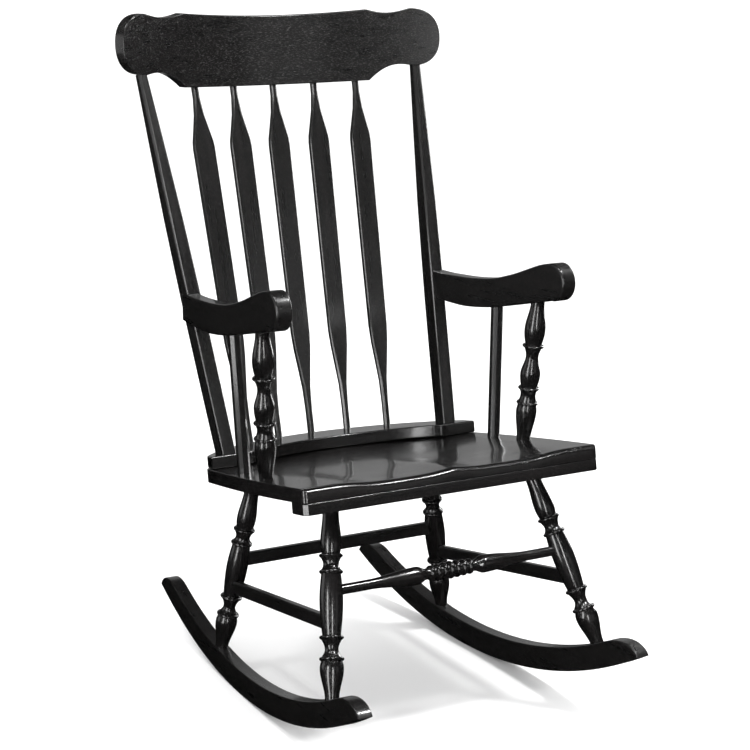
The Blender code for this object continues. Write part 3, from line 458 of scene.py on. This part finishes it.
# %% Arm balusters
ARM_TENON = 0.016
BALUSTER_STATIONS = (
    (0.000, 0.0117), (0.196, 0.0180), (0.311, 0.0187, 0.0140, 0.0152), (0.388, 0.0109),
    (0.517, 0.0173), (0.618, 0.0185, 0.0142, 0.0154), (0.667, 0.0130),
    (0.726, 0.0188, 0.0156, 0.0157), (0.788, 0.0178), (1.000, 0.0120),
)

for label in ("left", "right"):
    node = "arm_baluster_" + label
    place, length = rod_frame(node)
    seen = length - ARM_TENON - SEAT_SOCKET
    line = [(h + SEAT_SOCKET, r) for h, r in lathe_line(BALUSTER_STATIONS, seen, 2.7 * MM)]
    line = [(line[0][0] + HIDDEN, line[0][1]), *line, (line[-1][0] - HIDDEN, line[-1][1])]
    baluster = turn_on_lathe(node + "_turned", line)
    settle(baluster, place)
    hand_over(baluster, node, turned_lacquer, place)

# %% Front stretcher
# A row of seven beads in the middle, a swell on each side, and long plain tapers to the legs.
BEAD_PITCH = 12 * MM
STRETCHER_END_RADIUS = 0.0083
RING_RADII = (0.0147, 0.0142, 0.0135, 0.0128)
NECK_RADII = (0.0108, 0.0104, 0.0100, 0.0094)
SWELL = (0.062, 0.0148)
TAPER_END = 0.150

place, length = rod_frame("front_stretcher", Vector((1, 0, 0)), Vector((0, 1, 0)))
half = []
for i in range(1, 4):
    half.append((i * BEAD_PITCH, RING_RADII[i], NECK_RADII[i - 1], NECK_RADII[i]))
half += [(0.045, 0.0092), SWELL, (TAPER_END, STRETCHER_END_RADIUS), (length / 2, STRETCHER_END_RADIUS)]
lower = [(0.5 + entry[0] / length, *entry[1:]) for entry in half]
upper = [(0.5 - entry[0] / length, entry[1], *reversed(entry[2:])) for entry in reversed(half)]
stations = upper + [(0.5, RING_RADII[0], NECK_RADII[0], NECK_RADII[0])] + lower
stretcher = turn_on_lathe("front_stretcher_turned", lathe_line(stations, length, 4.2 * MM))
settle(stretcher, place)
hand_over(stretcher, "front_stretcher", turned_lacquer, place)

# %% [markdown]
# ## Screws and bolts
#
# Steel fasteners hold what glue alone wouldn't: one screw up through each runner into each foot,
# two up through the seat into the back rail, and a bolt through each post into the arm. A head is
# pressed from wire and its recess is punched. Here each one is turned like a leg, its recess is
# cut with a small punch of its own, and the wood is bored so that the head sits in a clean hole.

# %% Screws and bolts
HEAD_GAP = 0.3 * MM
PUNCH_START = 2.0 * MM  # how far a punch or a drill starts outside what it cuts
DRILL_START = 12 * MM
# Shares of a head's radius or height, and of the shank's radius at its tip.
TIP_RADIUS = 0.12
HEAD_EDGE = 0.35
CROSS_SPAN = 1.15
CROSS_SLOT = 0.24
CROSS_DEPTH = 0.55
SOCKET_RADIUS = 0.36
SOCKET_DEPTH = 0.6
WOOD_SCREW = {"shank": 0.0020, "head": 0.0045, "height": 0.0035, "ways": Vector((0, 0, 1))}
ARM_BOLT = {"shank": 0.0030, "head": 0.0065, "height": 0.0040, "ways": Vector((0, -1, 0))}
RUNNER_SCREWS = {
    label: [f"rocker_screw_{row}_{label}" for row in ("front", "back")] for label in ("left", "right")
}
RAIL_SCREWS = ["rail_screw_left", "rail_screw_right"]
ARM_BOLTS = {label: "arm_bolt_" + label for label in ("left", "right")}


def fastener_line(kind, length, tip):
    """Down the shank from its tip, out to the head's shoulder, and round to its face."""
    shank, head, height = kind["shank"], kind["head"], kind["height"]
    edge = HEAD_EDGE * height
    corner = [
        (edge * (1 - math.sin(a)), head - edge * (1 - math.cos(a)))
        for a in (math.radians(18 * i) for i in range(6))
    ]
    start = [(length, TIP_RADIUS * shank), (length - tip, shank)]
    return [*start, (height, shank), (height, head), *corner]


def punch_cross(kind):
    """Two thin blades, crossed, that run a little way into the head."""
    blades = []
    for turn in (0, math.pi / 2):
        deselect()
        bpy.ops.mesh.primitive_cube_add(size=1, location=(0, 0, 0))
        blade = bpy.context.object
        depth = 2 * (PUNCH_START + kind["height"] * CROSS_DEPTH)
        blade.scale = (kind["head"] * CROSS_SPAN, kind["head"] * CROSS_SLOT, depth)
        blade.rotation_euler = (0, 0, turn)
        blade.location = (0, 0, -PUNCH_START)
        bpy.ops.object.transform_apply(location=True, rotation=True, scale=True)
        blades.append(blade)
    return blades


def punch_hexagon(kind):
    """A six-sided punch for a socket head."""
    deselect()
    depth = 2 * (PUNCH_START + kind["height"] * SOCKET_DEPTH)
    bpy.ops.mesh.primitive_cylinder_add(
        vertices=6, radius=kind["head"] * SOCKET_RADIUS, depth=depth, location=(0, 0, -PUNCH_START)
    )
    bpy.ops.object.transform_apply(location=True, rotation=True, scale=True)
    return [bpy.context.object]


def fastener(node, kind, tip, punch):
    place, length = rod_frame(node, kind["ways"])
    made = turn_on_lathe(node + "_pressed", fastener_line(kind, length, tip), 40)
    for tool in punch(kind):
        cut_away(made, tool)
    only(made)
    bpy.ops.object.shade_smooth_by_angle(angle=ROUNDING_ANGLE)
    settle(made, place)
    hand_over(made, node, steel, place)


def bore_heads(piece, place, nodes, kind):
    """Bores the holes for these fasteners' heads in a piece that still lies in its own frame."""
    for node in nodes:
        deselect()
        depth = DRILL_START + kind["height"] + HEAD_GAP
        bpy.ops.mesh.primitive_cylinder_add(
            vertices=48, radius=kind["head"] + HEAD_GAP, depth=depth,
            location=(0, 0, kind["height"] + HEAD_GAP - depth / 2),
        )
        drill = bpy.context.object
        bpy.ops.object.transform_apply(location=True, rotation=True, scale=True)
        settle(drill, place.inverted() @ rod_frame(node, kind["ways"])[0])
        cut_away(piece, drill)


for node in RAIL_SCREWS + RUNNER_SCREWS["left"] + RUNNER_SCREWS["right"]:
    fastener(node, WOOD_SCREW, 7 * MM, punch_cross)
for node in ARM_BOLTS.values():
    fastener(node, ARM_BOLT, 1 * MM, punch_hexagon)

# %% [markdown]
# ## Bars
#
# The posts, spindles, sticks and plain stretchers are sawn square, tapered, and chamfered along
# their edges. Each is made from a few rings: a square is added at its height, sized, and its
# corners bevelled. The rings are bridged into a skin and the ends are closed. Extruding one square
# would be shorter, but then its chamfer could not change along the piece, as it does on a post.

# %% A bar through bridged rings
def bridge_bar(name, stations, arris):
    """A bar through (height, width, depth, chamfer) rings, its long edges eased by arris."""
    deselect()
    bpy.ops.mesh.primitive_plane_add(size=1, location=(0, 0, 0))
    bar = bpy.context.object
    bar.name = name
    bpy.ops.object.mode_set(mode="EDIT")
    bpy.ops.mesh.select_mode(type="VERT")
    for i, (height, width, depth, chamfer) in enumerate(stations):
        if i:
            bpy.ops.mesh.select_all(action="DESELECT")
            bpy.ops.mesh.primitive_plane_add(size=1, location=(0, 0, 0))
        bpy.ops.transform.resize(value=(width, depth, 1), center_override=(0, 0, 0))
        bpy.ops.transform.translate(value=(0, 0, height))
        bpy.ops.mesh.bevel(offset=chamfer, affect="VERTICES", segments=1)
        bpy.ops.mesh.delete(type="ONLY_FACE")
    bpy.ops.mesh.select_all(action="SELECT")
    bpy.ops.mesh.bridge_edge_loops()
    for height in (stations[0][0], stations[-1][0]):
        pick(bar, lambda e: all(abs(v.co.z - height) < 1e-6 for v in e.verts))
        bpy.ops.mesh.edge_face_add()
    tidy_faces()
    pick(bar, lambda e: abs(e.verts[0].co.z - e.verts[1].co.z) > 1e-5)
    bpy.ops.mesh.bevel(offset=arris, segments=2, profile=0.5, affect="EDGES")
    bpy.ops.object.mode_set(mode="OBJECT")
    even_shading(bar)
    return bar


# %% Back posts
# A post swells beside the arm and narrows to the crest: (share from the rail, width, depth, chamfer).
POST_SHAPE = (
    (0.00, 0.0250, 0.0330, 0.0018), (0.17, 0.0258, 0.0344, 0.0021), (0.35, 0.0262, 0.0352, 0.0024),
    (0.48, 0.0256, 0.0344, 0.0028), (0.62, 0.0246, 0.0330, 0.0034), (0.82, 0.0208, 0.0275, 0.0044),
    (1.00, 0.0168, 0.0205, 0.0048),
)
POST_TENONS = (0.030, 0.022)
POST_SEATING = 0.0015


def post_stations(length, extra=0.0):
    """The post's rings in its own frame, grown by extra, running past both of its seen ends."""
    low, high = POST_TENONS[0], length - POST_TENONS[1]
    rings = [
        (low + (high - low) * share, width + extra, depth + extra, chamfer)
        for share, width, depth, chamfer in POST_SHAPE
    ]
    return [(low - HIDDEN, *rings[0][1:]), *rings, (high + POST_SEATING, *rings[-1][1:])]


for label in ("left", "right"):
    node = "back_post_" + label
    place, length = rod_frame(node)
    post = bridge_bar(node + "_planed", post_stations(length), 0.8 * MM)
    bore_heads(post, place, [ARM_BOLTS[label]], ARM_BOLT)
    even_shading(post)
    settle(post, place)
    hand_over(post, node, board_lacquer, place)

# %% Arrow spindles
SPINDLE_NECK = 0.012
PADDLE = 0.011
SPINDLE_STATIONS = (
    (0.000, SPINDLE_NECK, SPINDLE_NECK, 0.0035), (0.090, SPINDLE_NECK, SPINDLE_NECK, 0.0035),
    (0.150, 0.0150, SPINDLE_NECK, 0.0034), (0.215, 0.0250, 0.0115, 0.0026),
    (0.255, 0.0315, PADDLE, 0.0022), (0.300, 0.0358, PADDLE, 0.0020), (0.520, 0.0380, PADDLE, 0.0020),
    (0.780, 0.0397, PADDLE, 0.0020), (0.812, 0.0400, PADDLE, 0.0020), (0.830, 0.0378, PADDLE, 0.0020),
    (0.862, 0.0285, 0.0114, 0.0024), (0.900, 0.0180, 0.0118, 0.0030),
    (0.945, SPINDLE_NECK, SPINDLE_NECK, 0.0035), (1.000, SPINDLE_NECK, SPINDLE_NECK, 0.0035),
)

for number in range(1, 6):
    node = f"spindle_{number}"
    place, length = rod_frame(node)
    stations = [(share * length, *sizes) for share, *sizes in SPINDLE_STATIONS]
    spindle = bridge_bar(node + "_shaped", stations, 0.7 * MM)
    settle(spindle, place)
    hand_over(spindle, node, board_lacquer, place)

# %% Arm sticks and plain stretchers
STICK = (0.020, 0.020, 0.0055)
PLAIN_STRETCHER = (0.015, 0.023, 0.003)

for label in ("left", "right"):
    node = "arm_stick_" + label
    place, length = rod_frame(node)
    ends = (SEAT_SOCKET - HIDDEN, length - ARM_TENON + HIDDEN)
    stick = bridge_bar(node + "_planed", [(height, *STICK) for height in ends], 0.6 * MM)
    settle(stick, place)
    hand_over(stick, node, board_lacquer, place)

WIDTHWAYS = (Vector((1, 0, 0)), Vector((0, 1, 0)))
LENGTHWAYS = (Vector((0, 1, 0)), Vector((1, 0, 0)))
for node, ways in (
    ("side_stretcher_left", LENGTHWAYS), ("side_stretcher_right", LENGTHWAYS),
    ("back_stretcher", WIDTHWAYS),
):
    place, length = rod_frame(node, *ways)
    bar = bridge_bar(node + "_planed", [(height, *PLAIN_STRETCHER) for height in (0, length)], 0.7 * MM)
    settle(bar, place)
    hand_over(bar, node, board_lacquer, place)

# %% [markdown]
# ## Boards
#
# The seat, its strip and rail, the arms, the runners and the crest are cut from planks with a
# bandsaw, and their edges are rounded over with a router. A curve object could give the outline,
# but its filled face is hard to round and to bend. So one point is drawn round the outline, corner
# by corner, the ring is filled and extruded to the board's thickness, and its rims are bevelled.

# %% Drawing a board
def draw_board(name, outline, low, high, rim, segments=4):
    """A board from an outline in X and Y, from low to high in Z, both rims rounded by rim."""
    deselect()
    first = outline[0]
    bpy.ops.mesh.primitive_plane_add(size=0.001, location=(*first, low))
    board = bpy.context.object
    board.name = name
    bpy.ops.object.transform_apply(location=True, rotation=True, scale=True)
    bpy.ops.object.mode_set(mode="EDIT")
    bpy.ops.mesh.select_mode(type="VERT")
    bpy.ops.mesh.select_all(action="SELECT")
    bpy.ops.mesh.merge(type="CENTER")
    for (x0, y0), (x1, y1) in zip(outline, outline[1:]):
        bpy.ops.mesh.extrude_vertices_move(TRANSFORM_OT_translate={"value": (x1 - x0, y1 - y0, 0)})
    bpy.ops.mesh.select_all(action="SELECT")
    bpy.ops.mesh.edge_face_add()
    bpy.ops.mesh.select_all(action="SELECT")
    bpy.ops.mesh.extrude_region_move(TRANSFORM_OT_translate={"value": (0, 0, high - low)})
    tidy_faces()
    if rim:
        pick(board, lambda e: abs(e.verts[0].co.z - e.verts[1].co.z) < 1e-6)
        bpy.ops.mesh.bevel(offset=rim, segments=segments, profile=0.5, affect="EDGES")
    bpy.ops.object.mode_set(mode="OBJECT")
    return board


def cut_in_strips(board, axis, places):
    """Cuts a board across at each place along the axis, so that it can bend there."""
    only(board)
    normal = Vector((axis == "X", axis == "Y", 0))
    bpy.ops.object.mode_set(mode="EDIT")
    for place in places:
        bpy.ops.mesh.select_all(action="SELECT")
        bpy.ops.mesh.bisect(plane_co=normal * place, plane_no=normal)
    bpy.ops.object.mode_set(mode="OBJECT")


def reshape(board, rule):
    """Moves every point of a board as the rule says."""
    for vertex in board.data.vertices:
        vertex.co = rule(vertex.co)


def arc(centre, radius, first, last, count):
    """Points on an arc, from the angle first to last in degrees."""
    angles = [math.radians(first + (last - first) * i / count) for i in range(count + 1)]
    return [(centre[0] + radius * math.cos(a), centre[1] + radius * math.sin(a)) for a in angles]


def smooth_line(points, steps):
    """Points along a smooth curve through the given ones."""
    ends = [points[0], *points, points[-1]]
    line = []
    for a, b, c, d in zip(ends, ends[1:], ends[2:], ends[3:]):
        for step in range(steps):
            t = step / steps
            weights = (
                -t / 2 + t * t - t**3 / 2, 1 - 2.5 * t * t + 1.5 * t**3,
                t / 2 + 2 * t * t - 1.5 * t**3, (t**3 - t * t) / 2,
            )
            line.append(tuple(sum(w * p[i] for w, p in zip(weights, (a, b, c, d))) for i in (0, 1)))
    return [*line, points[-1]]


# %% Runners
# Each runner is an arc of one radius, toed in a little, with a long rounded nose and a shorter heel.
RUNNER_RADIUS = 0.948
RUNNER_HEIGHT = 0.042
RUNNER_NOSE = 0.072
RUNNER_HEEL = 0.062
mounts = {mount["name"]: mount for mount in frame["record"]["mounts"]}


def on_runner(angle, radius):
    return radius * math.sin(angle), RUNNER_RADIUS - radius * math.cos(angle)


def runner_outline(front, rear):
    """Round the runner from its front tip, along the floor side, and back over the top."""
    first, last = math.asin(front / RUNNER_RADIUS), math.asin(rear / RUNNER_RADIUS)
    count = 40
    outline = [on_runner(first + (last - first) * i / count, RUNNER_RADIUS) for i in range(count + 1)]

    def rounded_end(tip, length):
        turns = [math.radians(9 * i) for i in range(1, 11)]
        sweep = length / RUNNER_RADIUS
        return [
            on_runner(tip + sweep * (1 - math.cos(a)), RUNNER_RADIUS - RUNNER_HEIGHT * math.sin(a))
            for a in turns
        ]

    top_last = last - RUNNER_HEEL / RUNNER_RADIUS
    top_first = first + RUNNER_NOSE / RUNNER_RADIUS
    top = [
        on_runner(top_last + (top_first - top_last) * i / count, RUNNER_RADIUS - RUNNER_HEIGHT)
        for i in range(1, count)
    ]
    return outline + rounded_end(last, -RUNNER_HEEL) + top + rounded_end(first, RUNNER_NOSE)[::-1]


for label, side in (("left", -1), ("right", 1)):
    node = "rocker_" + label
    across = spread_of(node)[1][0]
    up = Vector((0, 0, 1))
    across = across if across.x > 0 else -across
    back_way = up.cross(across).normalized()
    place = Matrix((back_way, up, back_way.cross(up))).transposed().to_4x4()
    place.translation = Vector(mounts["floor_contact_" + label]["pos_m"])
    low, high = reach(node, place)
    board = draw_board(node + "_sawn", runner_outline(low.x, high.x), low.z, high.z, 2.2 * MM)
    bore_heads(board, place, RUNNER_SCREWS[label], WOOD_SCREW)
    even_shading(board)
    settle(board, place)
    hand_over(board, node, board_lacquer, place, along="X")

# %% Seat plank
seat_normal = Vector(mounts["seat_surface"]["axis"])
seat_back_way = seat_normal.cross(Vector((1, 0, 0))).normalized()
seat_place = Matrix((Vector((1, 0, 0)), seat_back_way, seat_normal)).transposed().to_4x4()
seat_place.translation = Vector(mounts["seat_surface"]["pos_m"])
plank_low, plank_high = reach("seat_plank", seat_place)
seat_place.translation += seat_back_way * plank_low.y
plank_low, plank_high = reach("seat_plank", seat_place)
SEAT_DEPTH = plank_high.y
PLANK_THICKNESS = -plank_low.z
SEAT_HALF_WIDTH = 0.2735
SEAT_TAPER = 0.0115
SEAT_BULGE = 0.008
SEAT_SWEEP = 0.141
SEAT_BACK_CORNER = (0.004, 0.0097)
SEAT_CORNER = 0.010
print("seat", round(SEAT_DEPTH, 4), "deep,", round(PLANK_THICKNESS, 4), "thick")

side_depth = SEAT_DEPTH - SEAT_SWEEP
back_half = SEAT_HALF_WIDTH - SEAT_TAPER - SEAT_BACK_CORNER[0]
sagitta = SEAT_SWEEP - SEAT_BACK_CORNER[1]
back_radius = (back_half**2 + sagitta**2) / (2 * sagitta)
back_centre = SEAT_DEPTH - back_radius


def back_edge(inset, half_width, count):
    """The round back edge, from the right end to the left one."""
    end = math.degrees(math.acos(half_width / (back_radius - inset)))
    return arc((0, back_centre), back_radius - inset, end, 180 - end, count)


def seat_outline():
    corner = arc((SEAT_HALF_WIDTH - SEAT_CORNER, SEAT_CORNER), SEAT_CORNER, -90, 0, 6)
    count = 14
    right = list(corner)
    for i in range(1, count + 1):
        y = SEAT_CORNER + (side_depth - SEAT_CORNER) * i / count
        share = y / side_depth
        x = SEAT_HALF_WIDTH - SEAT_TAPER * share + SEAT_BULGE * math.sin(math.pi * share)
        right.append((x, y))
    left = [(-x, y) for x, y in reversed(right)]
    return right + back_edge(0, back_half, 40) + left


# The top is dished for the sitter: two shallow hollows run out over the front edge for the
# thighs, with a low ridge between them, and the front edge is rolled over.
HOLLOW_X = 0.095
HOLLOW_WIDTH = 0.085
HOLLOW_DEPTH = 0.0065
BOWL_DEPTH = 0.0055
ROLL = 0.012


def rolled(y):
    """How far the top has dropped at y, where the front edge rolls over."""
    if y >= ROLL:
        return 0.0
    return ROLL * 0.75 * (1 - math.sqrt(max(0.0, 1 - (1 - y / ROLL) ** 2)))


def dished(x, y):
    """The depth of the seat's hollows at x and y."""
    front = math.exp(-((abs(x) - HOLLOW_X) / HOLLOW_WIDTH) ** 4)
    fade = 1 / (1 + math.exp((y - 0.16) / 0.05))
    bowl = max(0.0, 1 - (x / 0.225) ** 2) ** 0.8 * math.exp(-(((y - 0.26) / 0.15) ** 4))
    return HOLLOW_DEPTH * front * fade + BOWL_DEPTH * bowl * (1 - 0.55 * fade)


def shape_seat(point):
    x, y, z = point
    upper = (z + PLANK_THICKNESS) / PLANK_THICKNESS
    return Vector((x, y, z - upper * (dished(x, y) + rolled(y))))


def spaced(first, last, count):
    return [first + (last - first) * (i + 0.5) / count for i in range(count)]


plank = draw_board("seat_plank_shaped", seat_outline(), -PLANK_THICKNESS, 0, 1.6 * MM, 3)
cut_in_strips(plank, "X", spaced(-SEAT_HALF_WIDTH, SEAT_HALF_WIDTH, 72))
roll_cuts = [0.0025, 0.004, 0.006, 0.008, 0.010, ROLL]
cut_in_strips(plank, "Y", [*roll_cuts, *spaced(0.014, side_depth + 0.10, 48)])
reshape(plank, shape_seat)
bore_heads(plank, seat_place, RAIL_SCREWS, WOOD_SCREW)
even_shading(plank)
settle(plank, seat_place)
hand_over(plank, "seat_plank", seat_lacquer, seat_place, along="X")

# %% Front strip
strip_low, strip_high = reach("seat_front_strip", seat_place)
CORNER_CUT = 0.006
strip_outline = [
    (strip_low.x + CORNER_CUT, strip_low.y), (strip_high.x - CORNER_CUT, strip_low.y),
    (strip_high.x, strip_low.y + CORNER_CUT), (strip_high.x, strip_high.y),
    (strip_low.x, strip_high.y), (strip_low.x, strip_low.y + CORNER_CUT),
]
strip = draw_board("seat_front_strip_planed", strip_outline, strip_low.z, strip_high.z, 1.2 * MM, 3)
even_shading(strip)
settle(strip, seat_place)
hand_over(strip, "seat_front_strip", seat_lacquer, seat_place, along="X")

# %% Back rail
RAIL_STEP = 0.014
RAIL_END_LENGTH = 0.067
RAIL_HOLLOW = 0.060
rail_low, rail_high = reach("seat_back_rail", seat_place)


def rail_outline():
    """Straight beside the posts, then a rounded step back to a long hollow."""
    half = rail_high.x
    step_x = half - RAIL_END_LENGTH
    hollow_end = step_x - RAIL_STEP
    ease = [
        (step_x - RAIL_STEP * (1 - math.cos(math.radians(a))) / 2, a / 180)
        for a in range(180, -1, -20)
    ]
    step = [(x, rail_low.y + RAIL_STEP * share) for x, share in ease]
    right = [*step, (half, rail_low.y)]
    hollow = []
    count = 30
    for i in range(count + 1):
        x = -hollow_end + 2 * hollow_end * i / count
        depth = (RAIL_HOLLOW - RAIL_STEP) * (1 - (x / hollow_end) ** 2)
        hollow.append((x, rail_low.y + RAIL_STEP + depth))
    left = [(-x, y) for x, y in reversed(right)]
    return left + hollow[1:-1] + right + back_edge(0.002, half - SEAT_BACK_CORNER[0], 40)


rail = draw_board("seat_back_rail_shaped", rail_outline(), rail_low.z, rail_high.z, 3.0 * MM, 5)
even_shading(rail)
settle(rail, seat_place)
hand_over(rail, "seat_back_rail", seat_lacquer, seat_place, along="X")

# %% Arms
ARM_UPPER = (
    (0.000, -0.001), (0.045, -0.001), (0.086, 0.001), (0.130, 0.004), (0.180, 0.010), (0.214, 0.0165),
    (0.262, 0.030), (0.295, 0.0415), (0.327, 0.053), (0.345, 0.0585), (0.361, 0.0622),
)
ARM_LOWER = (
    (0.362, -0.0025), (0.318, -0.0125), (0.272, -0.0232), (0.195, -0.0396), (0.124, -0.0493),
    (0.075, -0.0508), (0.035, -0.050), (0.000, -0.0485),
)
KNUCKLE = (0.3765, 0.0325, 0.0320)


def arm_outline():
    x, y, radius = KNUCKLE
    start = math.degrees(math.atan2(ARM_UPPER[-1][1] - y, ARM_UPPER[-1][0] - x))
    end = math.degrees(math.atan2(ARM_LOWER[0][1] - y, ARM_LOWER[0][0] - x))
    knuckle = arc((x, y), radius, start - 8, end + 8, 26)
    return smooth_line(ARM_UPPER, 5) + knuckle + smooth_line(ARM_LOWER, 5)


for label in ("left", "right"):
    node = "arm_" + label
    across = spread_of(node)[1][0]
    across.z = 0
    across = across.normalized() if across.x > 0 else -across.normalized()
    up = Vector((0, 0, 1))
    forward = across.cross(up)
    place = Matrix((forward, up, forward.cross(up))).transposed().to_4x4()
    place.translation = spread_of(node)[0]
    low, high = reach(node, place)
    place.translation += forward * low.x + up * (high.y - KNUCKLE[1] - KNUCKLE[2])
    low, high = reach(node, place)
    arm = draw_board(node + "_shaped", arm_outline(), low.z, high.z, 4.0 * MM, 5)
    settle(arm, place)
    post_place, post_length = rod_frame("back_post_" + label)
    cutter = bridge_bar("cutter", post_stations(post_length, 0.8 * MM), 0.3 * MM)
    settle(cutter, post_place)
    cut_away(arm, cutter)
    even_shading(arm)
    hand_over(arm, node, board_lacquer, place, along="X")

# %% Crest
# The crest is steamed and bent, so its board is drawn flat, cut in strips, and then each point is
# moved back by a rule. The bend operator would do the same, but it needs a window.
CREST_BEND = 0.62
CREST_LEAN = math.tan(math.radians(4.0))
CREST_THICKNESS = 0.022
PANEL_HALF = 0.186
PANEL_TOP = 0.0585
PANEL_BOTTOM = -0.0615
PANEL_BOW = 0.008
SCOOP = 0.007
LOBE_X = 0.2665
LOBE_HALF = 0.050
LOBE_TOP = 0.0680
LOBE_BOTTOM = -0.0360
LOBE_POWER = 2.3
NECK_POWER = 2.2
NECK_ARCH = 0.006

crest_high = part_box("crest_rail")[1]
crest_height = crest_high.z - LOBE_TOP
crest_y = crest_high.y - CREST_THICKNESS / 2 - PANEL_TOP * CREST_LEAN


def crest_side(sign):
    """Half of the crest's edge, from the middle out to the lobe's tip: the top one or the bottom one."""
    top = sign > 0
    panel = PANEL_TOP if top else PANEL_BOTTOM
    lobe_full = LOBE_TOP if top else LOBE_BOTTOM
    middle = (LOBE_TOP + LOBE_BOTTOM) / 2
    line = []
    for i in range(9):
        x = PANEL_HALF * i / 8
        bow = PANEL_BOW * (x / PANEL_HALF) ** 2
        line.append((x, panel + bow if top else panel - (PANEL_BOW - bow) * 0.4))
    edge = line[-1][1]
    for i in range(1, 13):
        share = i / 12
        x = PANEL_HALF + (LOBE_X - PANEL_HALF) * share
        if top:
            height = edge + (lobe_full - edge) * share - SCOOP * math.sin(math.pi * share)
        else:
            rise = 1 - (1 - share) ** NECK_POWER
            height = edge + (lobe_full - edge) * rise + NECK_ARCH * math.sin(math.pi * share)
        line.append((x, height))
    for i in range(1, 16):
        turn = math.pi / 2 * i / 16
        x = LOBE_X + LOBE_HALF * math.sin(turn) ** (2 / LOBE_POWER)
        line.append((x, middle + (lobe_full - middle) * math.cos(turn) ** (2 / LOBE_POWER)))
    return line


tip = (LOBE_X + LOBE_HALF, (LOBE_TOP + LOBE_BOTTOM) / 2)
right_half = crest_side(1) + [tip] + crest_side(-1)[:0:-1]
crest_outline = right_half + [(0, crest_side(-1)[0][1])] + [(-x, y) for x, y in right_half[:0:-1]]


def bend_crest(point):
    """The drawn board lies in X and Y: stand it up, lean it back and bend its ends forward."""
    x, height, depth = point
    middle = Vector((x, crest_y - CREST_BEND * x * x + height * CREST_LEAN, crest_height + height))
    return middle - Vector((2 * CREST_BEND * x, 1, 0)).normalized() * depth


crest = draw_board(
    "crest_rail_bent", crest_outline, -CREST_THICKNESS / 2, CREST_THICKNESS / 2, 2.0 * MM, 4
)
cut_in_strips(crest, "X", spaced(-LOBE_X - LOBE_HALF, LOBE_X + LOBE_HALF, 90))
reshape(crest, bend_crest)
only(crest)
bpy.ops.object.mode_set(mode="EDIT")
tidy_faces()
bpy.ops.object.mode_set(mode="OBJECT")
even_shading(crest)
crest_place = Matrix.Translation((0, crest_y, crest_height))
hand_over(crest, "crest_rail", crest_lacquer, crest_place, along="X")

# %% [markdown]
# ## Floor and light
#
# The chair stands on a plain white floor in an even, bright room. A black gloss finish shows
# nothing but its reflections, so the room is kept out of them and a few soft lights are placed
# where each gives one highlight. The lights stay out of the camera's sight.

# %% Floor and world
deselect()
bpy.ops.mesh.primitive_plane_add(size=40, location=(0, 0, -0.0005))
floor = bpy.context.object
floor.name = "floor"
floor.visible_glossy = False
paper = bpy.data.materials.new("matt_white_paper")
paper.use_nodes = True
paper.node_tree.nodes["Principled BSDF"].inputs["Base Color"].default_value = linear("#f4f4f4")
paper.node_tree.nodes["Principled BSDF"].inputs["Roughness"].default_value = 1.0
paper.node_tree.nodes["Principled BSDF"].inputs["Specular IOR Level"].default_value = 0.0
floor.data.materials.append(paper)

world = bpy.data.worlds.new("bright_room")
world.use_nodes = True
world.node_tree.nodes["Background"].inputs["Color"].default_value = (1, 1, 1, 1)
world.node_tree.nodes["Background"].inputs["Strength"].default_value = 1.45
world.cycles_visibility.glossy = False
bpy.context.scene.world = world
bpy.context.scene.view_settings.view_transform = "Standard"

# %% Soft lights
TARGET = Vector((0, 0, 0.55))


def soft_light(name, place, size, watts, lights_floor=True):
    """An area light that faces the chair and that the camera doesn't see."""
    bpy.ops.object.light_add(type="AREA", location=place)
    lamp = bpy.context.object
    lamp.name = name
    lamp.data.shape = "RECTANGLE"
    lamp.data.size, lamp.data.size_y = size
    lamp.data.energy = watts
    lamp.rotation_mode = "QUATERNION"
    lamp.rotation_quaternion = (Vector(place) - TARGET).to_track_quat("Z", "Y")
    lamp.visible_camera = False
    lamp.visible_diffuse = lights_floor


# Three lamps overhead leave a short row of highlights on each bead, nose and rounded edge.
soft_light("lamp_left", (-1.7, 0.0, 3.45), (0.4, 0.4), 22)
soft_light("lamp_middle", (-0.6, -1.1, 3.45), (0.4, 0.4), 22)
soft_light("lamp_right", (1.36, -1.19, 3.45), (0.5, 0.5), 85)
# Tall boxes beside the chair draw the long highlights down the legs and posts.
soft_light("left_box", (-3.3, -1.5, 1.0), (0.9, 2.6), 70, False)
soft_light("front_box", (-1.45, -4.4, 1.25), (0.4, 2.4), 60, False)
soft_light("right_box", (3.2, 1.4, 1.3), (0.7, 2.4), 60, False)
# Dim cards fill the broad faces, and the back one is what the seat mirrors.
soft_light("front_right_card", (1.9, -4.0, 1.3), (1.6, 1.6), 3, False)
soft_light("back_card", (1.6, 3.6, 0.9), (4.0, 2.4), 11, False)
soft_light("left_back_card", (-3.6, 2.4, 1.2), (2.4, 2.4), 17, False)
